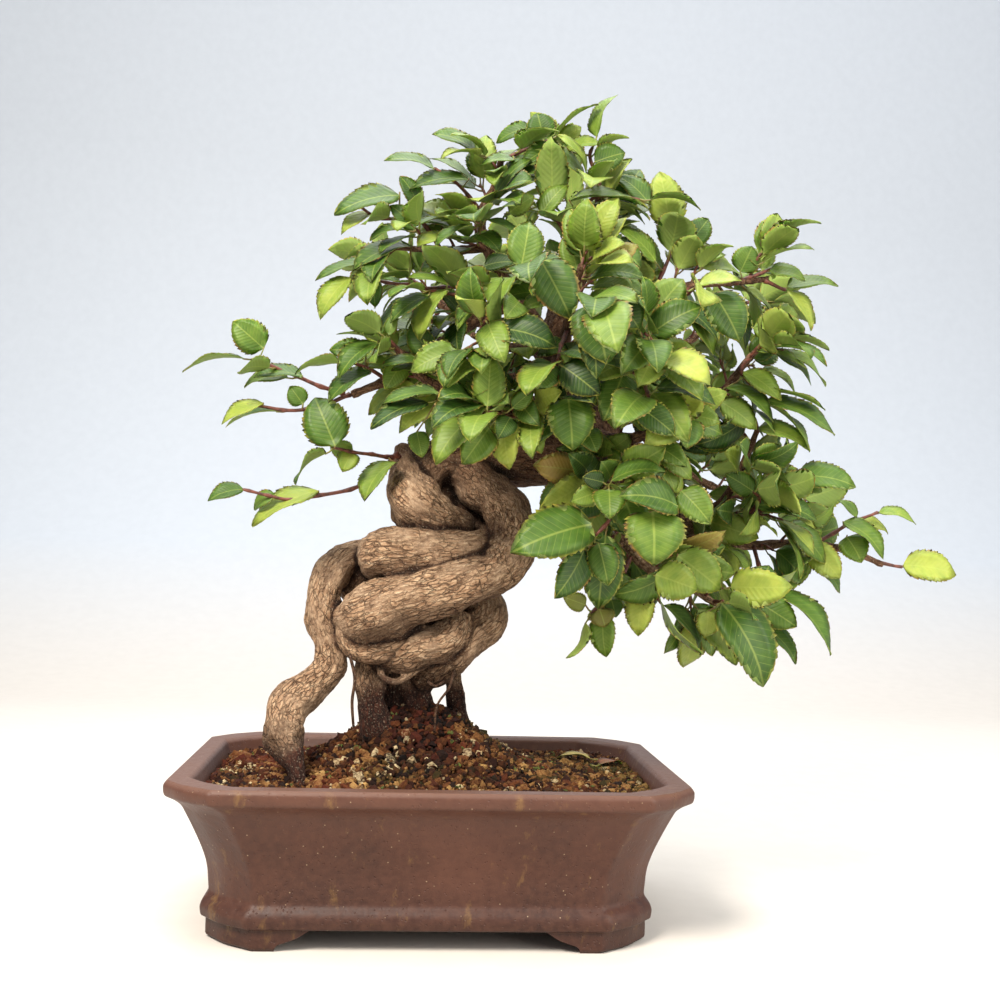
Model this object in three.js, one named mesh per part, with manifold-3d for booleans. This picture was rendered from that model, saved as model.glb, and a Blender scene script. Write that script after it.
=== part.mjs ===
// Korean hornbeam bonsai in its unglazed stoneware pot. Millimetres, +Z up.
// Every place is given from the middle of the pot, at a level soleHeight under its feet: X to the
// right, Y away from the viewer. At the end the whole is moved so that it stands on Z = 0 and the
// origin is under its middle.
import * as THREE from "three";
import { mergeVertices } from "three/addons/utils/BufferGeometryUtils.js";
import Module from "manifold-3d";

const wasm = await Module();
wasm.setup();

const gap = 0.3; // between pieces that touch

// The pot: its size over the rim, and its corners, which are cut off and stepped.
const potWidth = 260;
const potDepth = 196;
const cornerLeg = 25;
const cornerStep = 3;
const cornerBulge = 4;
const cornerSlope = 4;
const soleHeight = 2;
const underside = 12.4;
const floorTop = 22;
const footWall = 15;
const footInset = 23;
const drainRadius = 9;
const drainSpacing = 110;
const screenSide = 26;
const screenThick = 1.2;
const screenHole = 7;
const roundSides = 12;

// The pot's outer wall from the foot up to the rim, as [distance in from the rim's face, height].
const outerWall = [
  [21.3, soleHeight],
  [19.7, 3.6],
  [19.7, 12.4],
  [17.4, 13.2],
  [16.8, 17.4],
  [17.8, 20.6],
  [20.6, 24],
  [19.5, 38],
  [16.4, 48],
  [11.6, 60],
  [7.6, 69],
  [4.4, 72],
  [0, 75],
  [0, 81],
  [1, 82],
];

// Its inner wall from the rim down to the floor.
const innerWall = [
  [11, 82],
  [12, 81],
  [19, 60],
  [28, 31],
  [30.5, floorTop],
];

// One side of the opening between two feet, as [distance in from the foot's end, height].
const footCurve = [
  [0, -1],
  [0, 3],
  [1.5, 5.4],
  [5.5, 6.6],
  [11, 8.6],
  [17, underside],
];
const longFoot = 33;
const shortFoot = 36;

// The soil: its height along the wall, and the mound round the trunk.
const soilEdge = 74;
const moundHeight = 38;
const moundCentre = [-8, 2];
const moundReach = [47, 44];
const grainRelief = 1.3;
const soilRings = 5;

// The members of the tree: how many sides they are drawn with and how far apart their rings stand.
const stoutRadius = 5;
const stoutSides = 8;
const slimSides = 5;
const stoutStep = 13.5;
const limbRadius = 6;
const limbSides = 6;
const branchSides = 4;
const limbStep = 34;
const twigSides = 3;
const twigStep = 25;
const twigRadius = 1.3;
const twigTipRadius = 0.9;
const endDome = 0.4; // how far a rounded end stands out, as a share of its radius
const fluteDepth = 0.05; // as a share of the radius
const fluteTurn = 0.35; // radians from ring to ring
const flutes = 3;
const curveTension = 0.5;

// A leaf: its blade's width as a share of its length, the arch along it and the fold across it, and
// half of its thickness, in the blade and as a multiple of that at the stalk.
const leafWidthShare = 0.64;
const leafArch = 0.09;
const leafFold = 0.22;
const leafHalfThick = 0.45;
const stalkDepth = 1.8;
const stalkLength = 6;
const stalkHalfWidth = 0.9;
const ridgePlace = 0.42; // how far along the blade its middle point stands

// One side of a blade's toothed edge, as [share of the length, share of the half width].
const leafEdge = [
  [0.06, 0.6],
  [0.3, 0.98],
  [0.38, 0.8],
  [0.63, 0.8],
  [0.7, 0.54],
];

// The leaves that stand on a shoot by rule: where along it the first one is, how far they lean to the
// side and outward, how far they hang, how their length varies, and which way they face.
const ruled = {
  first: 0.3,
  lean: 0.9,
  leanAtTip: 0.25,
  leanSpread: 0.5,
  outward: 0.35,
  hang: 0.2,
  hangSpread: 0.4,
  droop: 0.12,
  shortest: 0.95,
  lengthSpread: 0.4,
  facingOut: 0.9,
  facingUp: 0.45,
  facingSpread: 0.8,
};
const crownCentre = [85, 5, 285];

// How a leaf may be held to clear its neighbours: its tip bent up or down by a share of its length,
// and a leaf that stands by rule also turned round its shoot, in radians.
const bends = [0, 0.16, -0.16, 0.32, -0.32, 0.5, -0.5, 0.7, -0.7];
const ruledBends = [0, 0.2, -0.2, 0.4, -0.4];
const turns = [0, 0.6, -0.6, 1.2, -1.2, 1.8, -1.8];

// The shed leaves on the soil: where they lie, the way that they point, and how high over the soil.
const greenLeaf = { x: 84, y: 44, angle: 2.9, length: 20, lift: 3.2 };
const brownLeaf = { x: 104, y: 30, angle: 0.6, length: 17, lift: 2.6 };


// The trunk's members, from the soil up. Each point is [x, y, z, radius].
const trunk = {
  archingRoot: [
    [-66, -50, 74, 4],
    [-69, -46, 84, 5],
    [-73, -38, 91, 8],
    [-76, -32, 97, 10.5],
    [-77, -26, 106, 10],
    [-73, -20, 115, 10],
    [-64, -14, 123, 9.5],
    [-56, -10, 132, 9],
    [-56, -8, 142, 8],
    [-60, -6, 154, 8.5],
    [-61, -4, 166, 9.5],
    [-59, 0, 178, 10],
    [-52, 6, 188, 9.5],
    [-43, 14, 192, 9],
    [-30, 22, 190, 8],
    [-14, 24, 186, 7],
  ],
  lowerCoil: [
    [0, 13, 247, 10],
    [13, 9, 241, 12],
    [25, 3, 231, 13],
    [34, -6, 222, 12.5],
    [40, -14, 212, 13],
    [40, -20, 199, 13],
    [34, -26, 188, 12.5],
    [22, -30, 181, 12.5],
    [2, -32, 174, 13],
    [-18, -31, 168, 14.5],
    [-33, -24, 162, 15.5],
    [-41, -8, 157, 13],
    [-36, 12, 153, 11],
    [-20, 22, 150, 10],
  ],
  middleCoil: [
    [35, -6, 204, 6.5],
    [26, -14, 200, 8.5],
    [11, -20, 196, 10.5],
    [-5, -22, 194.5, 12],
    [-19, -21, 194, 13.5],
    [-29, -13, 193, 14],
    [-31, 0, 190, 12],
    [-20, 14, 184, 11],
  ],
  upperCoil: [
    [17, -2, 210, 6],
    [8, -10, 212, 8.5],
    [-1, -14, 214, 12],
    [-10, -13, 219, 15],
    [-15, -6, 227, 13.5],
    [-18, 2, 237, 10],
    [-20, 7, 246, 6],
    [-21, 9, 254, 4.5],
  ],
  rightLobe: [
    [8, 8, 172, 11],
    [24, 4, 166, 12],
    [27, -4, 157, 12],
    [18, -11, 147, 10.5],
    [10, -13, 138, 9],
    [2, -9, 131, 8],
    [-6, 0, 126, 7],
  ],
  frontLobe: [
    [12, -12, 160, 8],
    [10, -19, 153, 9],
    [3, -23, 147, 10],
    [-9, -24, 143, 9.5],
    [-20, -20, 139, 8.5],
    [-29, -10, 137, 7],
    [-33, 4, 136, 6],
  ],
  underLobe: [
    [-48, -19, 158, 4],
    [-47, -19, 149, 5],
    [-41, -20, 143, 6.5],
    [-31, -22, 143, 8],
    [-19, -22, 147, 8.5],
    [-9, -18, 155, 8],
  ],
  thinLoop: [
    [-29, -18, 133, 2],
    [-28, -23, 130, 2],
    [-24, -25, 127, 2],
    [-18, -25, 127, 2],
    [-11, -23, 131, 2],
    [-3, -18, 136, 2],
  ],
  leftStem: [
    [-28, 0, 148, 11],
    [-32, -5, 132, 10],
    [-33, -9, 119, 8.5],
    [-31, -13, 107, 9],
    [-27, -16, 94, 10],
    [-24, -19, 78, 6],
  ],
  middleStem: [
    [-8, 6, 158, 13],
    [-9, 5, 135, 11],
    [-10, 3, 121, 9],
    [-8, 1, 109, 9],
    [-4, -1, 94, 10.5],
    [-1, -2, 76, 6],
  ],
  rightStem: [
    [4, 18, 150, 6],
    [9, 18, 133, 5.5],
    [12, 17, 122, 5],
    [14, 16, 110, 5.5],
    [16, 13, 97, 5.5],
    [18, 10, 80, 4],
  ],
  innerStem: [
    [-20, 12, 150, 12],
    [-20, 9, 130, 10],
    [-19, 7, 112, 9],
    [-16, 9, 94, 9],
    [-12, 12, 78, 6],
  ],
  hollowBack: [
    [6, 21, 234, 11],
    [17, 20, 223, 11.5],
    [27, 16, 211, 11.5],
    [28, 8, 198, 10],
  ],
  leftFold: [
    [-30, 14, 192, 11],
    [-41, 13, 184, 10],
    [-45, 12, 175, 8.5],
    [-42, 10, 167, 6],
  ],
  heart: [
    [-12, 6, 142, 17],
    [-9, 5, 160, 21],
    [-6, 6, 178, 21],
    [-3, 10, 196, 18],
    [-2, 16, 213, 14],
    [-1, 17, 229, 13],
    [2, 15, 243, 13],
  ],
  upperBend: [
    [-8, 8, 224, 9.5],
    [-8, 8, 236, 11.5],
    [0, 10, 244, 14],
    [15, 13, 248, 15.5],
    [35, 15, 250, 16.5],
    [57, 14, 251, 17],
    [75, 13, 251, 16],
    [87, 14, 258, 14.5],
    [87, 17, 272, 12.5],
    [79, 19, 286, 11],
    [68, 17, 300, 9.5],
    [58, 12, 313, 7.5],
  ],
};

// The limbs and branches that carry the crown.
const limbs = {
  apex: [
    [58, 12, 311, 8],
    [47, 6, 328, 6],
    [37, 3, 339, 5],
    [27, 0, 357, 4],
    [19, -2, 373, 3.5],
    [21, -4, 388, 2.5],
    [27, -6, 400, 2],
    [29, -6, 413, 1.5],
  ],
  leftUpper: [
    [39, 3, 336, 4.5],
    [19, -2, 325, 4],
    [4, -8, 313, 3.5],
    [-12, -14, 299, 3],
    [-29, -17, 287, 2.5],
    [-48, -18, 278, 2],
  ],
  leftHigh: [
    [23, 0, 365, 3],
    [2, -6, 361, 2],
    [-18, -10, 360, 1.5],
    [-39, -14, 360, 1.5],
  ],
  leftLow: [
    [70, 14, 297, 5],
    [37, -10, 290, 4],
    [12, -22, 282, 3],
    [-9, -28, 286, 2.5],
    [-27, -30, 304, 1.5],
  ],
  frontLeftLow: [
    [78, 12, 284, 4.5],
    [52, -30, 272, 3],
    [32, -50, 267, 2],
    [15, -62, 265, 1.5],
  ],
  rightMain: [
    [85, 14, 261, 11.5],
    [102, 10, 245, 8],
    [121, 2, 228, 6],
    [138, -6, 213, 5],
    [153, -10, 209, 4],
    [167, -14, 216, 3],
    [177, -16, 224, 2],
    [188, -18, 236, 1.5],
  ],
  rightFar: [
    [140, -8, 211, 3.5],
    [174, -4, 204, 3],
    [203, 0, 206, 2],
    [231, 4, 203, 2],
    [253, 6, 195, 1.5],
  ],
  rightRise: [
    [142, -7, 211, 3],
    [154, -14, 226, 2.5],
    [162, -16, 239, 2],
    [167, -18, 252, 2],
    [172, -20, 266, 1.5],
  ],
  rightLow: [
    [93, 8, 252, 7.5],
    [95, -10, 229, 5.5],
    [98, -22, 212, 4.5],
    [104, -30, 198, 3.5],
    [115, -36, 188, 3],
    [133, -38, 180, 2],
    [146, -42, 172, 1.5],
  ],
  rightUpper: [
    [81, 18, 283, 7],
    [110, 10, 280, 4.5],
    [136, 0, 283, 3.5],
    [155, -6, 288, 2.5],
    [168, -8, 305, 2],
    [177, -8, 315, 1.5],
  ],
  shoulder: [
    [65, 14, 302, 7],
    [87, 0, 321, 4.5],
    [111, -10, 336, 3.5],
    [134, -16, 345, 2.5],
    [161, -18, 348, 2],
    [177, -18, 350, 1.5],
  ],
  topRight: [
    [58, 12, 311, 5.5],
    [71, -4, 336, 4],
    [78, -12, 362, 3],
    [82, -16, 387, 2],
    [82, -18, 406, 1.5],
  ],
  topBack: [
    [58, 12, 312, 5],
    [69, 44, 352, 4],
    [78, 66, 388, 2.5],
    [82, 78, 416, 1.5],
  ],
  backRight: [
    [82, 20, 283, 5.5],
    [120, 54, 307, 4],
    [154, 78, 330, 2.5],
    [174, 88, 348, 1.5],
  ],
  backLow: [
    [88, 18, 262, 5.5],
    [127, 50, 257, 4],
    [164, 68, 242, 2.5],
    [193, 76, 233, 1.5],
  ],
  backLeft: [
    [46, 7, 326, 4.5],
    [22, 40, 330, 3],
    [1, 62, 343, 2.5],
    [-15, 74, 358, 1.5],
  ],
  backMiddle: [
    [72, 20, 294, 4.5],
    [60, 52, 287, 3.5],
    [41, 78, 287, 2.5],
    [20, 88, 293, 1.5],
  ],
  backDrop: [
    [90, 18, 257, 4.5],
    [110, 40, 229, 3.5],
    [137, 52, 206, 2.5],
    [160, 58, 195, 1.5],
  ],
  frontUp: [
    [65, 12, 303, 4.5],
    [65, -34, 315, 3],
    [65, -60, 328, 2],
    [66, -76, 340, 1.5],
  ],
  frontRight: [
    [81, 14, 283, 4.5],
    [90, -34, 286, 3],
    [99, -62, 293, 2],
    [107, -80, 301, 1.5],
  ],
  frontMiddle: [
    [86, 12, 263, 5],
    [97, -28, 258, 3.5],
    [109, -55, 260, 2],
    [122, -74, 263, 1.5],
  ],
  frontLeft: [
    [56, 10, 314, 4.5],
    [40, -34, 304, 3],
    [25, -60, 301, 2],
    [13, -76, 303, 1.5],
  ],
  frontBelow: [
    [87, 12, 256, 5],
    [86, -28, 239, 3.5],
    [83, -52, 228, 2],
  ],
};

// The leafy shoots, by the side of the crown that they grow on. Each has the places that its shoot passes
// through, how many further leaves stand on it and their length, and its own leaves, each as
// [where the blade begins, its tip, the width that shows from the front].
const shoots = [
  {
    side: "left",
    twig: [[-52, -18, 278], [-75, -24, 285], [-98, -30, 294]],
    fill: 3,
    size: 24,
    leaves: [
      [[-94, -32, 299], [-110, -36, 312], 18],
      [[-74, -26, 286], [-99, -30, 285], 9],
    ],
  },
  {
    side: "left",
    twig: [[-49, -18, 278], [-72, -26, 268], [-101, -34, 269]],
    fill: 2,
    size: 22,
    leaves: [
      [[-93, -34, 270], [-114, -38, 259], 9],
      [[-73, -28, 271], [-80, -30, 280], 11],
    ],
  },
  {
    side: "left",
    twig: [[-23, -2, 249], [-40, -12, 231], [-76, -24, 221], [-102, -30, 225]],
    fill: 0,
    size: 24,
    leaves: [
      [[-102, -30, 225], [-120, -34, 219], 9],
      [[-64, -20, 226], [-98, -30, 208], 12],
      [[-86, -26, 223], [-98, -20, 215], 8],
    ],
  },
  {
    side: "left",
    twig: [[-22, 0, 247], [-35, -16, 246], [-56, -34, 248]],
    fill: 2,
    size: 22,
    leaves: [
      [[-55, -35, 249], [-67, -30, 275], 24],
      [[-24, -12, 243], [-40, -30, 222], 12],
      [[-47, -24, 247], [-51, -30, 236], 12],
    ],
  },
  {
    side: "left",
    twig: [[-29, -17, 286], [-39, -26, 291.5], [-49, -34, 293]],
    fill: 1,
    size: 23.5,
    leaves: [
      [[-35, -32, 304], [-55, -40, 284], 13],
      [[-38, -33, 289], [-60, -38, 272], 11],
      [[-41, -26, 300], [-60, -30, 300], 13],
    ],
  },
  {
    side: "left",
    twig: [[-12, -14, 299], [-21, -28, 298], [-29, -36, 306]],
    fill: 3,
    size: 20,
    leaves: [
      [[-21, -34, 295], [-30, -38, 279], 13],
      [[-29, -36, 308], [-26, -36, 319], 7],
    ],
  },
  {
    side: "left",
    twig: [[-3, -7, 361], [-15, -10, 376], [-36, -14, 375], [-50, -16, 382]],
    fill: 3,
    size: 26,
    leaves: [
      [[-26, -14, 388], [-61, -20, 376], 17],
      [[-41, -14, 377], [-57, -18, 365], 9],
      [[-16, -12, 384], [-26, -14, 399], 11],
    ],
  },
  {
    side: "left",
    twig: [[31, 2, 346], [-3, -10, 339], [-24, -16, 339], [-49, -18, 342]],
    fill: 1,
    size: 26,
    leaves: [
      [[-19, -16, 360], [-48, -24, 340], 14],
      [[-51, -18, 341], [-67, -20, 318], 14],
      [[-39, -20, 340], [-37, -22, 325], 10],
    ],
  },
  {
    side: "left",
    twig: [[34, 3, 341], [14, -18, 334], [-8, -32, 333]],
    fill: 3,
    size: 24,
    leaves: [
      [[-9, -34, 330], [-27, -38, 312], 11],
      [[0, -32, 334], [-17, -42, 309], 12],
      [[-21, -30, 329], [-41, -32, 316], 7],
      [[1, -30, 337], [-20, -34, 340], 7],
    ],
  },
  {
    side: "top",
    twig: [[20, -2, 383], [9, -6, 395], [-7, -10, 405]],
    fill: 2,
    size: 24,
    leaves: [
      [[-8, -10, 405], [-35, -14, 408], 10],
      [[11, -12, 399], [-20, -14, 388], 13],
    ],
  },
  {
    side: "top",
    twig: [[27, -6, 400], [31, -6, 413], [54, -8, 424]],
    fill: 4,
    size: 24,
    leaves: [
      [[52, -9, 424], [48, -10, 439], 17],
      [[45, -10, 430], [28, -14, 429], 10],
      [[61, -14, 419], [39, -20, 406], 13],
      [[62, -6, 425], [73, -8, 433], 10],
      [[37, -12, 411], [17, -16, 407], 8],
    ],
  },
  {
    side: "top",
    twig: [[82, -17, 401], [77, -18, 412], [78, -20, 418]],
    fill: 3,
    size: 22,
    leaves: [
      [[64, -18, 416], [83, -22, 420], 9],
      [[79, -22, 409], [95, -26, 414], 16],
    ],
  },
  {
    side: "top",
    twig: [[76, -12, 360], [61, -22, 374], [52, -28, 383]],
    fill: 5,
    size: 26,
    leaves: [
      [[50, -30, 377], [63, -32, 394], 12],
      [[33, -26, 378], [46, -30, 387], 11],
    ],
  },
  {
    side: "top",
    twig: [[79, -14, 371], [69, -24, 380], [82, -28, 389], [103, -28, 388]],
    fill: 4,
    size: 24,
    leaves: [
      [[65, -32, 384], [107, -34, 384], 11],
      [[109, -22, 388], [92, -18, 404], 14],
      [[75, -30, 383], [84, -40, 365], 11],
    ],
  },
  {
    side: "right",
    twig: [[159, -18, 347], [168, -20, 351], [178, -22, 355]],
    fill: 2,
    size: 22,
    leaves: [
      [[161, -20, 353], [167, -22, 367], 16],
      [[173, -22, 354], [172, -20, 370], 15],
      [[176, -24, 353], [196, -26, 349], 10],
    ],
  },
  {
    side: "right",
    twig: [[113, -10, 338], [122, -12, 358], [124, -14, 374]],
    fill: 3,
    size: 26,
    leaves: [
      [[122, -16, 376], [116, -16, 408], 21],
      [[133, -14, 368], [145, -12, 384], 14],
      [[113, -26, 355], [92, -32, 372], 13],
    ],
  },
  {
    side: "right",
    twig: [[175, -18, 349], [186, -20, 344]],
    fill: 2,
    size: 20,
    leaves: [
      [[187, -20, 344], [201, -24, 322], 12],
    ],
  },
  {
    side: "right",
    twig: [[134, -16, 344], [124, -40, 333], [127, -62, 334]],
    fill: 2,
    size: 24,
    leaves: [
      [[128, -64, 335], [149, -70, 338], 9],
      [[121, -62, 332], [104, -66, 318], 14],
      [[137, -60, 332], [150, -66, 307], 22],
    ],
  },
  {
    side: "right",
    twig: [[174, -8, 312], [179, -12, 319]],
    fill: 3,
    size: 24,
    leaves: [
      [[170, -16, 323], [188, -20, 320], 12],
      [[173, -14, 311], [200, -18, 303], 8],
    ],
  },
  {
    side: "right",
    twig: [[171, -8, 308], [164, -14, 299], [175, -18, 285]],
    fill: 4,
    size: 24,
    leaves: [
      [[164, -20, 298], [184, -26, 283], 14],
      [[154, -22, 289], [180, -28, 271], 12],
      [[178, -18, 283], [216, -22, 267], 14],
    ],
  },
  {
    side: "right",
    twig: [[172, -20, 265], [169, -22, 274], [155, -26, 281]],
    fill: 3,
    size: 24,
    leaves: [
      [[172, -22, 267], [200, -28, 257], 12],
      [[150, -28, 280], [169, -32, 266], 15],
    ],
  },
  {
    side: "right",
    twig: [[188.5, -18, 237], [193, -20, 239], [200, -20, 238]],
    fill: 1,
    size: 21.3,
    leaves: [
      [[195, -20, 242], [226, -26, 238], 16],
      [[200, -20, 237], [209, -20, 234], 6],
    ],
  },
  {
    side: "right",
    twig: [[167, -14, 216], [172, -26, 228], [167, -34, 232]],
    fill: 2,
    size: 24,
    leaves: [
      [[171, -26, 225], [203, -32, 219], 14],
      [[167, -34, 232], [151, -36, 241], 13],
    ],
  },
  {
    side: "right",
    twig: [[210, 1, 204], [228, -2, 216], [245, -6, 224]],
    fill: 0,
    size: 22,
    leaves: [
      [[246, -6, 224], [267, -8, 219], 7],
      [[225, -8, 218], [247, -14, 199], 13],
      [[234, -4, 221], [224, -2, 231], 7],
      [[238, -2, 218], [255, 2, 213], 7],
    ],
  },
  {
    side: "right",
    twig: [[250, 6, 196], [264, 6, 194]],
    fill: 0,
    size: 22,
    leaves: [
      [[265, 6, 195], [295, 2, 191], 18],
    ],
  },
  {
    side: "right",
    twig: [[229, 4, 203], [217, -2, 201], [205, -8, 200]],
    fill: 2,
    size: 22,
    leaves: [
      [[229, -2, 210], [236, -8, 196], 17],
      [[206, -8, 204], [222, -14, 187], 17],
      [[209, 2, 197], [230, 6, 179], 12],
    ],
  },
  {
    side: "right",
    twig: [[175, -4, 205], [176, -18, 190], [176, -30, 179]],
    fill: 2,
    size: 26,
    leaves: [
      [[179, -30, 178], [211, -38, 148], 14],
      [[169, -36, 174], [189, -42, 161], 18],
      [[171, -32, 162], [193, -34, 142], 12],
      [[169, -38, 181], [174, -42, 193], 19],
    ],
  },
  {
    side: "right",
    twig: [[145, -41, 173], [147, -52, 174]],
    fill: 2,
    size: 22,
    leaves: [
      [[146, -54, 173], [168, -62, 132], 28],
      [[138, -58, 169], [137, -60, 156], 13],
    ],
  },
  {
    side: "right",
    twig: [[133, -38, 180], [125, -54, 189], [116, -62, 193]],
    fill: 2,
    size: 26,
    leaves: [
      [[109, -66, 187], [130, -70, 180], 20],
      [[122, -56, 197], [145, -58, 180], 22],
    ],
  },
  {
    side: "right",
    twig: [[115, -36, 188], [110, -46, 182], [114, -48, 174]],
    fill: 2,
    size: 22,
    leaves: [
      [[107, -50, 179], [103, -52, 155], 14],
      [[117, -48, 171], [138, -50, 147], 9],
      [[100, -48, 184], [85, -50, 177], 11],
    ],
  },
  {
    side: "right",
    twig: [[104, -30, 198], [97, -38, 187], [89, -42, 174], [80, -44, 166]],
    fill: 3,
    size: 20,
    leaves: [
      [[77, -44, 170], [65, -46, 174], 10],
      [[84, -46, 168], [87, -48, 159], 13],
      [[91, -40, 173], [93, -44, 164], 10],
    ],
  },
  {
    side: "front",
    twig: [[21, -2, 371], [17, -22, 370], [18, -38, 369]],
    fill: 3,
    size: 24,
    leaves: [
      [[20, -40, 370], [40, -48, 358], 8],
      [[14, -38, 366], [-7, -44, 354], 7],
      [[17, -36, 363], [27, -50, 352], 12],
    ],
  },
  {
    side: "front",
    twig: [[37, 3, 339], [37, -36, 340], [41, -80, 340]],
    fill: 4,
    size: 26,
    leaves: [
      [[45, -86, 339], [60, -92, 310], 23],
      [[36, -78, 337], [40, -74, 362], 19],
      [[19, -50, 343], [35, -56, 345], 10],
    ],
  },
  {
    side: "front",
    twig: [[25, -60, 301], [27, -74, 306], [33, -84, 315]],
    fill: 3,
    size: 26,
    leaves: [
      [[24, -88, 304], [53, -96, 296], 18],
      [[35, -82, 319], [26, -88, 306], 14],
    ],
  },
  {
    side: "front",
    twig: [[65, -34, 315], [59, -60, 302], [55, -80, 291]],
    fill: 2,
    size: 26,
    leaves: [
      [[57, -84, 288], [75, -90, 274], 18],
      [[52, -80, 290], [45, -84, 276], 17],
    ],
  },
  {
    side: "front",
    twig: [[65, -60, 328], [67, -84, 321], [74, -100, 317]],
    fill: 4,
    size: 28,
    leaves: [
      [[68, -99, 316], [76, -105, 287], 27],
      [[74, -107, 304], [81, -110, 292], 16],
      [[81, -96, 319], [92, -100, 305], 18],
    ],
  },
  {
    side: "front",
    twig: [[99, -62, 293], [99, -78, 281], [99, -90, 273]],
    fill: 3,
    size: 26,
    leaves: [
      [[103, -90, 278], [132, -94, 271], 13],
      [[94, -93, 268], [111, -97, 255], 15],
    ],
  },
  {
    side: "front",
    twig: [[15, -62, 265], [6, -68, 268], [-3, -72, 271]],
    fill: 1,
    size: 26,
    leaves: [
      [[-3, -73, 274], [-31, -76, 268], 8],
      [[14, -70, 262], [-4, -82, 239], 17],
      [[-13, -66, 255], [-10, -70, 242], 11],
    ],
  },
  {
    side: "front",
    twig: [[52, -30, 272], [37, -58, 265], [21, -80, 265]],
    fill: 2,
    size: 26,
    leaves: [
      [[21, -82, 267], [22, -80, 293], 17],
      [[34, -72, 268], [44, -74, 277], 9],
      [[33, -72, 263], [27, -78, 252], 12],
      [[23, -68, 258], [10, -74, 239], 18],
    ],
  },
  {
    side: "front",
    twig: [[80, -20, 277], [68, -50, 275], [59, -74, 273]],
    fill: 3,
    size: 26,
    leaves: [
      [[61, -78, 273], [63, -86, 247], 24],
      [[72, -66, 259], [77, -72, 247], 12],
    ],
  },
  {
    side: "front",
    twig: [[83, -50, 230], [86, -64, 216], [75, -68, 203]],
    fill: 2,
    size: 26,
    leaves: [
      [[75, -74, 211], [34, -88, 197], 26],
      [[79, -70, 202], [84, -74, 181], 16],
    ],
  },
  {
    side: "front",
    twig: [[121, 0, 226], [120, -40, 221], [113, -84, 223]],
    fill: 2,
    size: 28,
    leaves: [
      [[102, -90, 218], [102, -98, 192], 30],
      [[115, -86, 221], [84, -94, 223], 18],
      [[118, -80, 229], [132, -86, 213], 17],
    ],
  },
  {
    side: "front",
    twig: [[86, -30, 238], [85, -52, 232], [83, -74, 231]],
    fill: 3,
    size: 22,
    leaves: [
      [[84, -76, 233], [109, -84, 239], 9],
      [[80, -76, 232], [69, -80, 234], 10],
      [[79, -72, 228], [64, -76, 222], 12],
    ],
  },
  {
    side: "front",
    twig: [[38, 2, 338], [29, -30, 330], [23, -54, 330]],
    fill: 5,
    size: 24,
    leaves: [],
  },
  {
    side: "back",
    twig: [[82, 78, 413], [76, 84, 429], [69, 86, 443]],
    fill: 5,
    size: 26,
    leaves: [],
  },
  {
    side: "back",
    twig: [[-13, 73, 357], [-27, 78, 367], [-38, 80, 372]],
    fill: 5,
    size: 26,
    leaves: [],
  },
  {
    side: "back",
    twig: [[1, 62, 343], [-8, 80, 334], [-18, 90, 323]],
    fill: 5,
    size: 26,
    leaves: [],
  },
  {
    side: "back",
    twig: [[22, 87, 293], [7, 94, 295], [-8, 98, 300]],
    fill: 5,
    size: 26,
    leaves: [],
  },
  {
    side: "back",
    twig: [[171, 87, 346], [189, 94, 357], [207, 96, 362]],
    fill: 6,
    size: 26,
    leaves: [],
  },
  {
    side: "back",
    twig: [[120, 54, 307], [122, 84, 331], [120, 100, 356]],
    fill: 6,
    size: 28,
    leaves: [],
  },
  {
    side: "back",
    twig: [[191, 75, 233], [212, 82, 230], [233, 86, 234]],
    fill: 5,
    size: 26,
    leaves: [],
  },
  {
    side: "back",
    twig: [[157, 57, 196], [174, 66, 182], [187, 70, 167]],
    fill: 5,
    size: 26,
    leaves: [],
  },
  {
    side: "back",
    twig: [[70, 46, 354], [60, 80, 377], [49, 96, 397]],
    fill: 6,
    size: 28,
    leaves: [],
  },
];

const up = new THREE.Vector3(0, 0, 1);
const front = new THREE.Vector3(0, -1, 0);
const toVector = ([x, y, z]) => new THREE.Vector3(x, y, z);

// What a seeded number is for, and the number itself, from 0 to 1, the same for the same leaf.
const purposes = { lean: 1, hang: 2, length: 3, facing: 4, grain: 9 };

function draw(shoot, leaf, purpose) {
  let h = (shoot * 374761393 + leaf * 668265263 + purpose * 224682251) >>> 0;
  h = Math.imul(h ^ (h >>> 13), 1274126177) >>> 0;
  h = Math.imul(h ^ (h >>> 16), 265443577) >>> 0;
  return ((h ^ (h >>> 15)) >>> 0) / 4294967296;
}

// A closed geometry as a solid that can be joined and cut.
function toSolid(geometry) {
  const bare = geometry.clone();
  bare.deleteAttribute("normal");
  bare.deleteAttribute("uv");
  const merged = mergeVertices(bare, 1e-4);
  return new wasm.Manifold(
    new wasm.Mesh({
      numProp: 3,
      vertProperties: new Float32Array(merged.attributes.position.array),
      triVerts: new Uint32Array(merged.index.array),
    }),
  );
}

function toGeometry(solid) {
  const mesh = solid.getMesh();
  const geometry = new THREE.BufferGeometry();
  geometry.setAttribute("position", new THREE.BufferAttribute(mesh.vertProperties, 3));
  geometry.setIndex(new THREE.BufferAttribute(mesh.triVerts, 1));
  geometry.computeVertexNormals();
  return geometry;
}

// The largest body of a solid, with any sealed hollow filled.
function largestBody(solid) {
  return solid.decompose().reduce((a, b) => (b.volume() > a.volume() ? b : a));
}

// A closed geometry from points and faces given by index.
function indexed(points, faces) {
  const geometry = new THREE.BufferGeometry().setFromPoints(points);
  geometry.setIndex(faces.flat());
  return geometry;
}

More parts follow.
